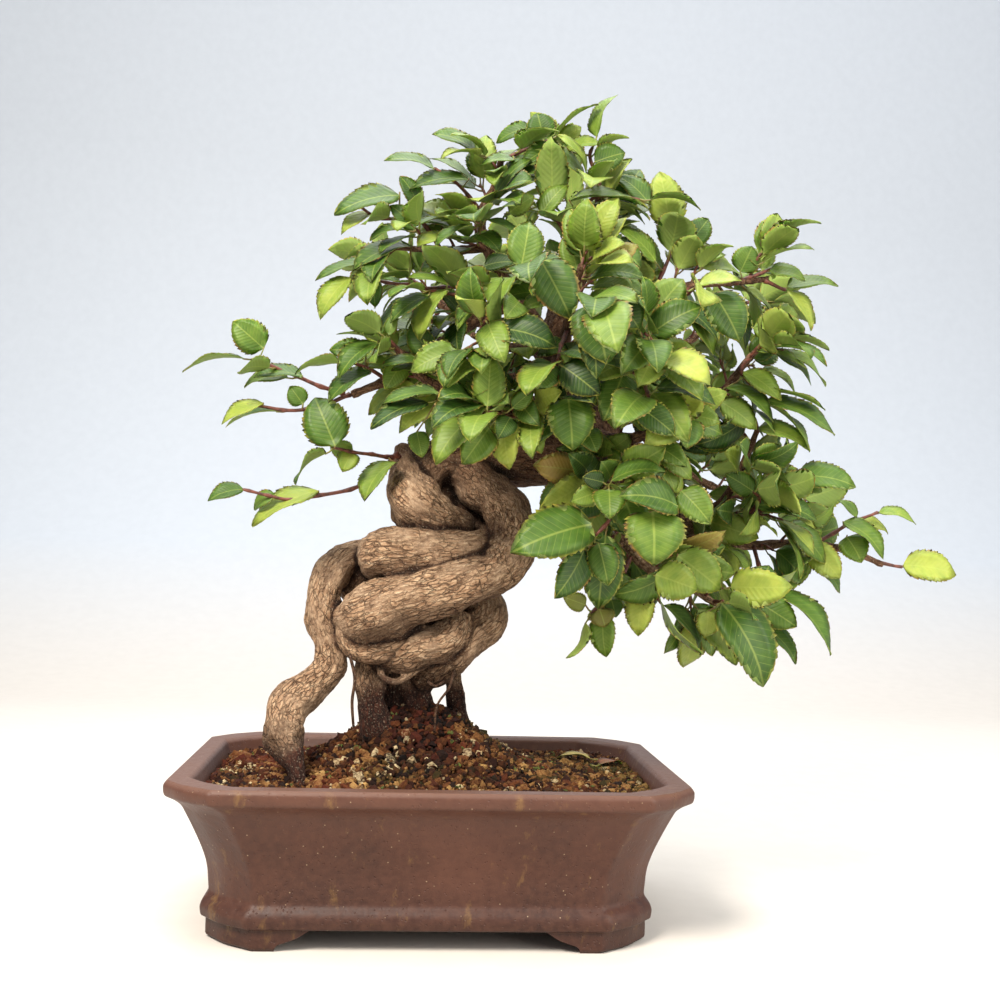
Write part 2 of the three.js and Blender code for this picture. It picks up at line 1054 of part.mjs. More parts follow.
// A skin over rings of equal size, closed by a point at each end. Seen from the last ring, each ring
// runs anticlockwise.
function loft(rings, startPoint, endPoint) {
  const size = rings[0].length;
  const points = [startPoint, ...rings.flat(), endPoint];
  const last = points.length - 1;
  const faces = [];
  for (let k = 0; k < size; k++) {
    const next = (k + 1) % size;
    faces.push([0, 1 + next, 1 + k]);
    for (let i = 0; i < rings.length - 1; i++) {
      const low = 1 + i * size;
      const high = low + size;
      faces.push([low + k, low + next, high + next]);
      faces.push([low + k, high + next, high + k]);
    }
    faces.push([last, last - size + k, last - size + next]);
  }
  return toSolid(indexed(points, faces));
}

// The pot's plan at a distance in from the rim: straight sides, and at each corner a small step, a
// slightly bulging panel and another step.
function potPlan(inset) {
  const a = potWidth / 2 - inset;
  const b = potDepth / 2 - inset;
  const panel = cornerLeg / 2 - cornerBulge / 2;
  const corner = [
    [a - cornerLeg, b],
    [a - cornerLeg + cornerSlope, b - cornerStep],
    [a - panel, b - panel],
    [a - cornerStep, b - cornerLeg + cornerSlope],
    [a, b - cornerLeg],
  ];
  const mirrored = corner.slice().reverse();
  return [
    ...mirrored,
    ...corner.map(([x, y]) => [-x, y]),
    ...mirrored.map(([x, y]) => [-x, -y]),
    ...corner.map(([x, y]) => [x, -y]),
  ];
}

const potRing = ([inset, z]) => potPlan(inset).map(([x, y]) => new THREE.Vector3(x, y, z));

// A prism from an outline in X and Y, from one height to another.
function prism(outline, low, high) {
  const shape = new THREE.Shape(outline.map(([x, y]) => new THREE.Vector2(x, y)));
  const geometry = new THREE.ExtrudeGeometry(shape, { depth: high - low, bevelEnabled: false });
  return geometry.translate(0, 0, low);
}

// The opening between two feet, right through under the pot, along Y or along X.
function footOpening(halfLength, footLength, alongX) {
  const side = footCurve.map(([inward, z]) => [halfLength - footLength - inward, z]);
  const mirrored = side.map(([x, z]) => [-x, z]).reverse();
  const geometry = prism([...side, ...mirrored], -potWidth, potWidth).rotateX(Math.PI / 2);
  return toSolid(alongX ? geometry.rotateZ(Math.PI / 2) : geometry);
}

function drainHole(x) {
  const geometry = new THREE.CylinderGeometry(drainRadius, drainRadius, floorTop * 2, roundSides);
  return toSolid(geometry.rotateX(Math.PI / 2).translate(x, 0, floorTop));
}

function makePot() {
  const rings = [...outerWall, ...innerWall].map(potRing);
  const body = loft(rings, new THREE.Vector3(0, 0, soleHeight), new THREE.Vector3(0, 0, floorTop));
  const halfX = potWidth / 2 - footInset;
  const halfY = potDepth / 2 - footInset;
  return body
    .subtract(toSolid(prism(potPlan(footInset + footWall), -1, underside)))
    .subtract(footOpening(halfX, longFoot, false))
    .subtract(footOpening(halfY, shortFoot, true))
    .subtract(drainHole(-drainSpacing / 2))
    .subtract(drainHole(drainSpacing / 2));
}

function square(side, x, y) {
  const h = side / 2;
  return [
    [x - h, y - h],
    [x + h, y - h],
    [x + h, y + h],
    [x - h, y + h],
  ];
}

// A screen over a drain hole: a thin square plate with four square openings.
function makeScreen(x) {
  const low = floorTop + gap;
  const plate = toSolid(prism(square(screenSide, x, 0), low, low + screenThick));
  const offset = screenHole * 0.75;
  const centres = square(offset * 2, x, 0);
  return centres.reduce(
    (rest, [cx, cy]) => rest.subtract(toSolid(prism(square(screenHole, cx, cy), low - 1, low + 2))),
    plate,
  );
}

// The height of the soil: level at the wall and mounded round the trunk.
function soilHeight(x, y) {
  const dx = (x - moundCentre[0]) / moundReach[0];
  const dy = (y - moundCentre[1]) / moundReach[1];
  return soilEdge + moundHeight * Math.exp(-(dx * dx + dy * dy));
}

// How far in the pot's inner wall stands at a height between its two upper bends.
function insetAt(height) {
  const [[rimInset, rimHeight], [lowInset, lowHeight]] = innerWall.slice(1);
  return rimInset + ((rimHeight - height) * (lowInset - rimInset)) / (rimHeight - lowHeight);
}

// The soil's sides stand clear of the pot's inner wall.
function makeSoil() {
  const walls = innerWall.slice(2).reverse();
  const rings = walls.map(([inset, z]) => potRing([inset + gap, z === floorTop ? z + gap : z]));
  const top = potPlan(insetAt(soilEdge) + gap);
  for (let ring = soilRings; ring > 0; ring--) {
    const share = ring / soilRings;
    rings.push(
      top.map(([x, y], k) => {
        const grain = ring === soilRings ? 0 : (draw(ring, k, purposes.grain) - 0.5) * 2 * grainRelief;
        const height = ring === soilRings ? soilEdge : soilHeight(x * share, y * share);
        return new THREE.Vector3(x * share, y * share, height + grain);
      }),
    );
  }
  const middle = new THREE.Vector3(0, 0, soilHeight(0, 0));
  return loft(rings, new THREE.Vector3(0, 0, floorTop + gap), middle);
}

// Frames along a path that turn as little as they can: [place, first normal, second normal].
function framesAlong(places) {
  const frames = [];
  let normal = null;
  places.forEach((place, i) => {
    const before = places[Math.max(i - 1, 0)];
    const after = places[Math.min(i + 1, places.length - 1)];
    const forward = after.clone().sub(before).normalize();
    const start = Math.abs(forward.z) > 0.8 ? new THREE.Vector3(1, 0, 0) : up;
    normal = (normal || start).clone().addScaledVector(forward, -(normal || start).dot(forward));
    normal.normalize();
    frames.push([place, normal, forward.clone().cross(normal)]);
  });
  return frames;
}

const curveThrough = (places) => new THREE.CatmullRomCurve3(places, false, "catmullrom", curveTension);

// One ring of a member, with shallow flutes like muscles that wind slowly round it.
function memberRing([place, first, second], radius, sides, turn, flute, grow) {
  return Array.from({ length: sides }, (_, k) => {
    const angle = (2 * Math.PI * k) / sides;
    const reach = radius * (1 + flute * Math.cos(flutes * angle + turn)) + grow;
    return place
      .clone()
      .addScaledVector(first, Math.cos(angle) * reach)
      .addScaledVector(second, Math.sin(angle) * reach);
  });
}

// The point of a rounded end, which stands out past the last place by some height.
function domePoint(last, before, height) {
  return last.clone().addScaledVector(last.clone().sub(before).normalize(), height);
}

// A tapering round member through points [x, y, z, radius], with rounded ends.
function member(points, sides, step, flute, grow) {
  const path = curveThrough(points.map(toVector));
  const girth = curveThrough(points.map((p) => new THREE.Vector3(p[3], 0, 0)));
  const count = Math.max(2, Math.round(path.getLength() / step));
  const places = Array.from({ length: count + 1 }, (_, i) => path.getPoint(i / count));
  const rings = framesAlong(places).map((frame, i) =>
    memberRing(frame, girth.getPoint(i / count).x, sides, i * fluteTurn, flute, grow),
  );
  const startCap = domePoint(places[0], places[1], points[0][3] * endDome + grow);
  const endCap = domePoint(places[count], places[count - 1], points.at(-1)[3] * endDome + grow);
  return loft(rings, startCap, endCap);
}

const sidesFor = (radius, limit, many, few) => (radius > limit ? many : few);

// The whole tree as one body. A positive grow makes it that much fatter all over.
function makeTree(grow) {
  const stout = Object.values(trunk).map((p) =>
    member(p, sidesFor(p[2][3], stoutRadius, stoutSides, slimSides), stoutStep, fluteDepth, grow),
  );
  const slender = Object.values(limbs).map((p) =>
    member(p, sidesFor(p[0][3], limbRadius, limbSides, branchSides), limbStep, 0, grow),
  );
  return largestBody([...stout, ...slender].reduce((a, b) => a.add(b)));
}

// A thin leafless shoot.
function makeTwig(points, grow) {
  const taper = (twigTipRadius - twigRadius) / (points.length - 1);
  const tapered = points.map((p, i) => [...p, twigRadius + taper * i]);
  return member(tapered, twigSides, twigStep, 0, grow);
}

// All the shoots, still bare. Each stands clear of the tree and of the shoots before it.
function makeTwigs(fatTree) {
  const cuts = [fatTree];
  return shoots.map(({ twig }) => {
    const clear = largestBody(cuts.reduce((rest, cut) => rest.subtract(cut), makeTwig(twig, 0)));
    cuts.push(makeTwig(twig, gap));
    return withBox(clear);
  });
}

// A leaf's own directions: along it, to its side, and out of its face.
function leafAxes({ base, tip, facing }) {
  const along = tip.clone().sub(base).normalize();
  const side = facing.clone().cross(along).normalize();
  return [along, side, along.clone().cross(side).normalize()];
}

// The points round a leaf, from its root by its left side to the tip and back, then two over each face.
function leafPoints(leaf, halfThick) {
  const [along, side, outward] = leafAxes(leaf);
  const length = leaf.tip.distanceTo(leaf.base);
  const half = leaf.width / 2;
  const place = (share, across, lift) =>
    leaf.base
      .clone()
      .addScaledVector(along, share * length)
      .addScaledVector(side, across)
      .addScaledVector(outward, lift + leafArch * length * 4 * share * (1 - share));
  const edge = (hand) => leafEdge.map(([t, w]) => place(t, hand * half * w, leafFold * half * w));
  const ridge = (h) => [place(0, 0, h * stalkDepth), place(ridgePlace, 0, h)];
  return [
    leaf.root,
    place(0, stalkHalfWidth, 0),
    ...edge(1),
    place(1, 0, 0),
    ...edge(-1).reverse(),
    place(0, -stalkHalfWidth, 0),
    ...ridge(halfThick),
    ...ridge(-halfThick),
  ];
}

// A blade and its stalk as one closed body. Both faces share the toothed edge.
function makeLeaf(leaf, halfThick) {
  const points = leafPoints(leaf, halfThick);
  const rim = points.length - 4;
  const faces = [];
  for (const flip of [false, true]) {
    const stalk = flip ? rim + 2 : rim;
    const blade = stalk + 1;
    const face = (a, b, c) => faces.push(flip ? [a, c, b] : [a, b, c]);
    face(stalk, 1, 0);
    face(stalk, 0, rim - 1);
    face(stalk, 2, 1);
    face(stalk, rim - 1, rim - 2);
    face(stalk, blade, 2);
    face(stalk, rim - 2, blade);
    for (let k = 2; k < rim - 2; k++) face(blade, k + 1, k);
  }
  return toSolid(indexed(points, faces));
}

// The place on a shoot that is nearest to a point.
function nearestOn(points, target) {
  let best = null;
  for (let i = 0; i < points.length - 1; i++) {
    const line = new THREE.Line3(toVector(points[i]), toVector(points[i + 1]));
    const place = line.closestPointToPoint(target, true, new THREE.Vector3());
    if (!best || place.distanceTo(target) < best.distanceTo(target)) best = place;
  }
  return best;
}

// The place and direction a share of the way along a shoot.
function partWay(points, share) {
  const line = curveThrough(points.map(toVector));
  return [line.getPoint(share), line.getTangent(share).normalize()];
}

// A leaf that is placed by hand. It faces the viewer, tilted up until its width shows as given.
function ownLeaf(shoot, [from, to, seen]) {
  const base = toVector(from);
  const tip = toVector(to);
  const along = tip.clone().sub(base).normalize();
  const width = Math.max(leafWidthShare * tip.distanceTo(base), seen);
  const share = Math.min(1, seen / width);
  const level = front.clone().addScaledVector(along, -front.dot(along)).normalize();
  const raised = level.clone().cross(along).normalize();
  if (raised.z < 0) raised.negate();
  const facing = level.multiplyScalar(share).addScaledVector(raised, Math.sqrt(1 - share * share));
  return { root: nearestOn(shoot.twig, base), base, tip, facing, width };
}

// A leaf that stands on the shoot by rule: left and right in turn, leaning forward, drooping, and
// facing up and out of the crown.
function ruleLeaf(shoot, number, index, turn) {
  const atTip = index === shoot.fill - 1;
  const share = ruled.first + ((1 - ruled.first) * (index + 1)) / shoot.fill;
  const vary = (purpose) => draw(number, index, purpose);
  const [root, forward] = partWay(shoot.twig, share);
  const outward = root.clone().sub(toVector(crownCentre)).normalize();
  const level = forward.clone().cross(outward).normalize();
  const side = level.multiplyScalar(index % 2 ? 1 : -1).applyAxisAngle(forward, turn);
  const lean = (atTip ? ruled.leanAtTip : ruled.lean) + (vary(purposes.lean) - 0.5) * ruled.leanSpread;
  const ahead = forward
    .clone()
    .addScaledVector(side, lean)
    .addScaledVector(outward, ruled.outward)
    .addScaledVector(up, -ruled.hang - ruled.hangSpread * vary(purposes.hang))
    .normalize();
  const length = shoot.size * (ruled.shortest + ruled.lengthSpread * vary(purposes.length));
  const base = root.clone().addScaledVector(ahead, stalkLength);
  const tip = base.clone().addScaledVector(ahead, length).addScaledVector(up, -ruled.droop * length);
  const facing = outward
    .clone()
    .multiplyScalar(ruled.facingOut)
    .addScaledVector(up, ruled.facingUp)
    .addScaledVector(side, (vary(purposes.facing) - 0.5) * ruled.facingSpread)
    .normalize();
  return { root, base, tip, facing, width: leafWidthShare * length };
}

const boxesMeet = (a, b) => a.min.every((v, i) => v <= b.max[i] && b.min[i] <= a.max[i]);

// Whether a solid crosses any of a list of others.
function crosses(solid, others) {
  const box = solid.boundingBox();
  return others.some((o) => boxesMeet(box, o.box) && solid.intersect(o.solid).volume() > 0);
}

const withBox = (solid) => ({ solid, box: solid.boundingBox() });

// A leaf with its tip bent up or down in each of several ways.
function bentWays(leaf, shares) {
  const length = leaf.tip.distanceTo(leaf.base);
  const bentTip = (share) => leaf.tip.clone().addScaledVector(leaf.facing, share * length);
  return shares.map((share) => ({ ...leaf, tip: bentTip(share) }));
}

// A leaf as it is tested: thicker by the gap, and without the lower half of its stalk, because the
// stalks of one shoot grow together.
function testLeaf(leaf) {
  const root = leaf.root.clone().lerp(leaf.base, 0.5);
  return makeLeaf({ ...leaf, root }, leafHalfThick + gap);
}

// The first of several ways to hold a leaf that clears what stands round it, or nothing if none does.
function clearLeaf(ways, others) {
  const free = ways.find((leaf) => !crosses(testLeaf(leaf), others));
  return free ? makeLeaf(free, leafHalfThick) : null;
}

// Every shoot with its leaves. The shoots come first, then each one's own leaves, then the rest.
function makeSprays(fatTree, around) {
  const twigs = makeTwigs(fatTree);
  const leaves = shoots.map(() => []);
  const placed = [];
  const addLeaf = (ways, number) => {
    const otherTwigs = twigs.filter((_, i) => i !== number);
    const solid = clearLeaf(ways, [...around, ...otherTwigs, ...placed]);
    if (!solid) return;
    leaves[number].push(solid);
    placed.push(withBox(solid));
  };
  shoots.forEach((shoot, number) =>
    shoot.leaves.forEach((own) => addLeaf(bentWays(ownLeaf(shoot, own), bends), number)),
  );
  shoots.forEach((shoot, number) => {
    for (let index = 0; index < shoot.fill; index++) {
      addLeaf(turns.flatMap((turn) => bentWays(ruleLeaf(shoot, number, index, turn), ruledBends)), number);
    }
  });
  const fused = twigs.map((twig, i) => [twig.solid, ...leaves[i]].reduce((a, b) => a.add(b)));
  return fused.map((solid) => largestBody(solid.subtract(fatTree)));
}

// A shed leaf that lies on the soil with its stalk.
function makeFallenLeaf({ x, y, angle, length, lift }) {
  const along = new THREE.Vector3(Math.cos(angle), Math.sin(angle), 0);
  const middle = new THREE.Vector3(x, y, soilHeight(x, y) + lift);
  const base = middle.clone().addScaledVector(along, -length / 2);
  const tip = middle.clone().addScaledVector(along, length / 2);
  const root = base.clone().addScaledVector(along, -stalkLength);
  return makeLeaf({ root, base, tip, facing: up, width: leafWidthShare * length }, leafHalfThick);
}

const finish = (color, roughness) => new THREE.MeshStandardMaterial({ color, roughness, metalness: 0 });

const materials = {
  pot: finish("#6a4a40", 0.75),
  screen: finish("#2b2b2a", 0.6),
  soil: finish("#7a5638", 0.95),
  bark: finish("#9a7b5c", 0.9),
  leaf: finish("#4f8a34", 0.55),
  youngLeaf: finish("#86a838", 0.55),
  paleLeaf: finish("#a9a878", 0.7),
  deadLeaf: finish("#7c4a2a", 0.85),
};

const bonsai = new THREE.Group();

function addPiece(name, solid, material) {
  const mesh = new THREE.Mesh(toGeometry(solid), material);
  mesh.name = name;
  bonsai.add(mesh);
}

const pot = makePot();
const tree = makeTree(0);
const fatTree = makeTree(gap);
const screens = [-drainSpacing / 2, drainSpacing / 2];
const pocketTop = floorTop + gap + screenThick + gap;
const pockets = screens.map((x) => toSolid(prism(square(screenSide + 2 * gap, x, 0), 0, pocketTop)));
const soil = largestBody([...pockets, fatTree].reduce((rest, cut) => rest.subtract(cut), makeSoil()));
const fallen = [greenLeaf, brownLeaf].map(makeFallenLeaf);

addPiece("pot", pot, materials.pot);
addPiece("drain_mesh_left", makeScreen(screens[0]), materials.screen);
addPiece("drain_mesh_right", makeScreen(screens[1]), materials.screen);
addPiece("soil", soil, materials.soil);
addPiece("tree", tree, materials.bark);
addPiece("fallen_leaf_green", fallen[0], materials.paleLeaf);
addPiece("fallen_leaf_brown", fallen[1], materials.deadLeaf);

const around = [pot, soil, fatTree, ...fallen].map(withBox);
const counts = {};
makeSprays(fatTree, around).forEach((solid, i) => {
  const side = shoots[i].side;
  counts[side] = (counts[side] || 0) + 1;
  const young = side === "left" || side === "top";
  addPiece(`spray_${side}_${counts[side]}`, solid, young ? materials.youngLeaf : materials.leaf);
});

const box = new THREE.Box3().setFromObject(bonsai);
const middle = box.getCenter(new THREE.Vector3());
bonsai.position.set(-middle.x, -middle.y, -box.min.z);

export default bonsai;
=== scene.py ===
# Korean hornbeam bonsai in its unglazed stoneware pot.
# Shapes are worked out in millimetres from the middle of the pot: X to the right, Y away from the
# viewer, Z up from a level just under its feet. toRow moves them to the row's frame, in metres.
import functools
import math
import time
import bpy
import numpy as np
from mathutils import Matrix, Vector
from mathutils.bvhtree import BVHTree


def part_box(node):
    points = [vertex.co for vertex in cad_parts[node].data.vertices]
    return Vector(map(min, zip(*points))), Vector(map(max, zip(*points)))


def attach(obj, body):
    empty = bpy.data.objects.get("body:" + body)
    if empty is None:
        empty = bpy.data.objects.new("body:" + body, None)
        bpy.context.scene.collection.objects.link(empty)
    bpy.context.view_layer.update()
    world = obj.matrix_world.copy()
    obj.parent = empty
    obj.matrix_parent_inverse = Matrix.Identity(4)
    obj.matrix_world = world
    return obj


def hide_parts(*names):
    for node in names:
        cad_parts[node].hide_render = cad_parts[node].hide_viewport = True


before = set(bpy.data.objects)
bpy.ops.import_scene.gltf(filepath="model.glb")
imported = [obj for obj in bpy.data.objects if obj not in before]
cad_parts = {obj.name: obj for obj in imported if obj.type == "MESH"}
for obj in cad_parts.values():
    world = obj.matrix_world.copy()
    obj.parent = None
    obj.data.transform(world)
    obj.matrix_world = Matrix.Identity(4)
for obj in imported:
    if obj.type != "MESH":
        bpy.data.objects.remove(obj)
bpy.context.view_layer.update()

startTime = time.time()
potLow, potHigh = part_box("pot")
soleHeight = 2.0 # mm from the level that heights are given from to the soles of the feet
potMiddle = (np.array(potLow) + potHigh) / 2
potMiddle[2] = potLow[2] - soleHeight / 1000


# Prints a stage with the seconds since the start.
def report(stage):
    print("%5.1f s  %s" % (time.time() - startTime, stage))


# Millimetres from the pot's middle as metres in the row's frame.
def toRow(points):
    return np.asarray(points, float) * 0.001 + potMiddle


# A vector, or each row of an array of vectors, at length 1.
def unit(v):
    v = np.asarray(v, float)
    return v / np.maximum(np.linalg.norm(v, axis=-1, keepdims=True), 1e-9)


# 0 up to low, 1 from high on, and 3t^2 - 2t^3 of the share t between them.
def smoothStep(low, high, x):
    t = np.clip((x - low) / (high - low), 0, 1)
    return t * t * (3 - 2 * t)


# The length of a vector, or of each row of an array of vectors.
def lengthOf(v):
    return np.linalg.norm(v, axis=-1)


# Smooth noise from -1 to 1: hashed values at the corners of a unit lattice, blended by 3t^2 - 2t^3.
def latticeNoise(points, seed):
    cell = np.floor(points).astype(np.int64)
    part = points - cell
    part = part * part * (3 - 2 * part)
    word = 0xffffffff
    total = np.zeros(len(points))
    for corner in range(8):
        step = np.array([corner & 1, corner >> 1 & 1, corner >> 2 & 1])
        c = cell + step
        h = (c[:, 0] * 73856093 ^ c[:, 1] * 19349663 ^ c[:, 2] * 83492791 ^ seed * 2654435761) & word
        h = (h ^ h >> 15) * 2246822519 & word
        h = (h ^ h >> 13) * 3266489917 & word
        total += ((h ^ h >> 16) / 2147483648.0 - 1) * np.prod(np.where(step, part, 1 - part), axis=1)
    return total


# A new object in the scene that shows a mesh, a lamp or a camera.
def show(name, data):
    made = bpy.data.objects.new(name, data)
    bpy.context.scene.collection.objects.link(made)
    return made


# A piece from points in millimetres and sets of faces, each (array of corners, material index).
def buildMesh(name, points, faceSets, materials, nodes, attributes, smooth=True):
    mesh = bpy.data.meshes.new(name)
    corners = np.concatenate([f.ravel() for f, _ in faceSets]).astype(np.int32)
    sizes = np.concatenate([np.full(len(f), f.shape[1]) for f, _ in faceSets]).astype(np.int32)
    finishes = np.concatenate([np.full(len(f), m) for f, m in faceSets]).astype(np.int32)
    mesh.vertices.add(len(points))
    mesh.vertices.foreach_set("co", toRow(points).astype(np.float32).ravel())
    mesh.loops.add(len(corners))
    mesh.loops.foreach_set("vertex_index", corners)
    mesh.polygons.add(len(sizes))
    mesh.polygons.foreach_set("loop_start", (np.cumsum(sizes) - sizes).astype(np.int32))
    mesh.polygons.foreach_set("loop_total", sizes)
    mesh.update(calc_edges=True)
    for material in materials:
        mesh.materials.append(material)
    mesh.polygons.foreach_set("material_index", finishes)
    mesh.polygons.foreach_set("use_smooth", np.full(len(sizes), smooth))
    for key, values in attributes.items():
        layer = mesh.attributes.new(key, "FLOAT_VECTOR", "POINT")
        layer.data.foreach_set("vector", np.asarray(values, np.float32).ravel())
    mesh.validate()
    piece = show(name, mesh)
    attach(piece, "root")
    if nodes:
        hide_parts(*nodes)


# An sRGB hex colour as linear RGBA.
def colour(text):
    parts = [int(text[i:i + 2], 16) / 255 for i in (1, 3, 5)]
    return [c / 12.92 if c <= 0.04045 else ((c + 0.055) / 1.055) ** 2.4 for c in parts] + [1.0]


# Adds a node of a kind, which may be followed by its operation. Values go into its inputs in order and
# named ones into inputs or settings of that name; a socket is linked, a hex colour is converted, and
# stops are a colour ramp's (place, colour).
def addNode(tree, kind, *values, output=0, stops=(), **named):
    kind, _, operation = kind.partition(" ")
    node = tree.nodes.new("ShaderNode" + kind)
    if operation:
        node.operation = operation
    for key, value in [*enumerate(values), *named.items()]:
        if isinstance(key, str) and hasattr(node, key):
            setattr(node, key, value)
        elif isinstance(value, bpy.types.NodeSocket):
            tree.links.new(value, node.inputs[key])
        else:
            node.inputs[key].default_value = colour(value) if isinstance(value, str) else value
    for i, (place, tone) in enumerate(stops):
        ramp = node.color_ramp.elements
        element = ramp[i] if i < 2 else ramp.new(place)
        element.position, element.color = place, colour(tone)
    return node.outputs[output]


# A new material: constants for its shader's sockets, and a recipe that gives what is linked to them.
def makeMaterial(name, recipe, finish, **sockets):
    material = bpy.data.materials.new(name)
    material.use_nodes = True
    tree = material.node_tree
    shader = tree.nodes["Principled BSDF"]
    for key, value in sockets.items():
        shader.inputs[key.replace("_", " ")].default_value = value
    for key, socket in recipe(functools.partial(addNode, tree), finish).items():
        tree.links.new(socket, shader.inputs[key])
    return material


# The three parts of a value that a piece carries for each of its points.
def partsOf(add, name):
    return add("SeparateXYZ", add("Attribute", attribute_name=name, output="Vector"), output=slice(3))


# Tones laid over a first one, each where its mask lies in its band: (from, to, least, most).
def layTones(add, f, tone, **masks):
    for key, mask in masks.items():
        tone = add("MixRGB", add("MapRange", mask, *f[key + "Band"]), tone, f[key])
    return tone


# Living hornbeam leaf: waxy, and pleated along its veins, which gives the eye a soft sheen that
# breaks up between pale veins. The underside is paler and more matt.
leafFinish = {
    "veinPairs": 11, "veinSlant": 0.26, "pleatDepth": 0.00017, "blotchSize": 0.006, "drySize": 0.008,
    "sideVein": (0.44, 0.5, 0.0, 0.8), "midrib": (0.06, 0.02), "veinShare": 0.34, "darker": 0.2,
    "blotchShare": 0.4, "marginBand": (0.88, 1.02, 0.0, 0.75), "redShare": 1.6, "underShare": 0.0,
    "dryBand": (0.86, 1.02, 0.0, 0.8), "dryPatch": (0.66, 0.8), "luckShare": 0.22, "blotchRelief": 0.3,
    "greens": [(0.0, "#14230a"), (0.25, "#274112"), (0.5, "#435f1a"), (0.75, "#667c2a"), (1.0, "#909a3d")],
    "autumns": [(0.0, "#6a3d20"), (0.35, "#a4683a"), (0.7, "#b8884e"), (1.0, "#c0a862")],
    "vein": "#98a44e", "margin": "#a3a03a", "redMargin": "#a8563c", "dryEdge": "#9a5c34",
    "underside": "#8a9a52",
}
leafSockets = {"IOR": 1.45, "Subsurface_Weight": 0.12, "Subsurface_Radius": (0.5, 1.0, 0.2),
               "Subsurface_Scale": 0.0012}


# Tone from blotches and the leaf's youth, which also carries painted light and shade by its place in the
# crown, then veins, a pale or red margin and dry patches at the rim. A side vein slants from the midrib to
# the tip, where the fraction of its row is 0 or 1.
def leafRecipe(add, f):
    place = add("TexCoord", output="Object")
    x, t, rim = partsOf(add, "leafPlace")
    youthAndLight, luck, autumn = partsOf(add, "leafTint")
    across = add("Math ABSOLUTE", x)
    row = add("Math MULTIPLY_ADD", across, -f["veinSlant"], t)
    phase = add("Math FRACT", add("Math MULTIPLY_ADD", row, f["veinPairs"], 3.0))
    away = add("Math ABSOLUTE", add("Math SUBTRACT", phase, 0.5))
    sideVein = add("MapRange", away, *f["sideVein"], interpolation_type="SMOOTHSTEP")
    midrib = add("MapRange", across, *f["midrib"], interpolation_type="SMOOTHSTEP")
    vein = add("Math MAXIMUM", midrib, sideVein)
    blotch = add("TexNoise", place, Scale=1 / f["blotchSize"], Detail=3.0)
    older = add("Math SUBTRACT", youthAndLight, f["darker"])
    tone = add("Math MULTIPLY_ADD", blotch, f["blotchShare"], older)
    green = add("ValToRGB", tone, stops=f["greens"])
    base = add("MixRGB", autumn, green, add("ValToRGB", tone, stops=f["autumns"]))
    base = add("MixRGB", f["underShare"], base, f["underside"])
    veined = add("MixRGB", add("Math MULTIPLY", vein, f["veinShare"]), base, f["vein"])
    margin = add("MapRange", rim, *f["marginBand"], interpolation_type="SMOOTHSTEP")
    red = add("Math MULTIPLY", autumn, f["redShare"])
    edged = add("MixRGB", margin, veined, add("MixRGB", red, f["margin"], f["redMargin"]))
    dry = add("TexNoise", place, Scale=1 / f["drySize"], Detail=1.0)
    dryPatch = add("MapRange", add("Math MULTIPLY_ADD", luck, f["luckShare"], dry), *f["dryPatch"])
    dryEdge = add("Math MULTIPLY", add("MapRange", rim, *f["dryBand"]), dryPatch)
    uneven = add("Math MULTIPLY", blotch, f["blotchRelief"])
    relief = add("Math MULTIPLY_ADD", away, -1.0, uneven)
    return {"Base Color": add("MixRGB", dryEdge, edged, f["dryEdge"]),
            "Normal": add("Bump", Height=relief, Distance=f["pleatDepth"])}


# Two tones in patches, with pores of a third of their size.
def patchyRecipe(add, f):
    dark, light, size, relief = f
    place = add("TexCoord", output="Object")
    patch = add("TexNoise", place, Scale=1 / size, Detail=3.0)
    pores = add("TexNoise", place, Scale=3 / size, Detail=2.0)
    return {"Base Color": add("ValToRGB", patch, stops=[(0.32, dark), (0.68, light)]),
            "Normal": add("Bump", Height=pores, Distance=relief)}


# A material of two tones: (dark, light, size of the patches, depth of the pores in metres).
def makePatchy(name, roughness, *finish):
    return makeMaterial(name, patchyRecipe, finish, Roughness=roughness, IOR=1.45)


leafFace = makeMaterial("waxy_leaf_face", leafRecipe, leafFinish, Roughness=0.5, Specular_IOR_Level=0.38,
                        **leafSockets)
leafUnderside = makeMaterial("matt_leaf_underside", leafRecipe, {**leafFinish, "underShare": 0.5},
                             Roughness=0.66, Specular_IOR_Level=0.3, **leafSockets)
# Smooth skin and young bark with fine pores, slightly shiny.
leafStalk = makePatchy("green_leaf_stalk", 0.5, "#6d4a2c", "#7d8a3e", 0.004, 0.0001)
youngTwig = makePatchy("red_brown_young_bark", 0.55, "#40231a", "#784233", 0.0025, 0.0002)
# Matt clay dust and moss, and the satin plastic of the drain screens.
darkSoil = makePatchy("damp_clay_dust", 0.95, "#20120b", "#4a2c1c", 0.003, 0.0006)
mossGreen = makePatchy("dry_moss", 0.95, "#23290f", "#5d6426", 0.0016, 0.0003)
screenPlastic = makePatchy("moulded_black_polypropylene", 0.5, "#242423", "#333331", 0.002, 0.00005)
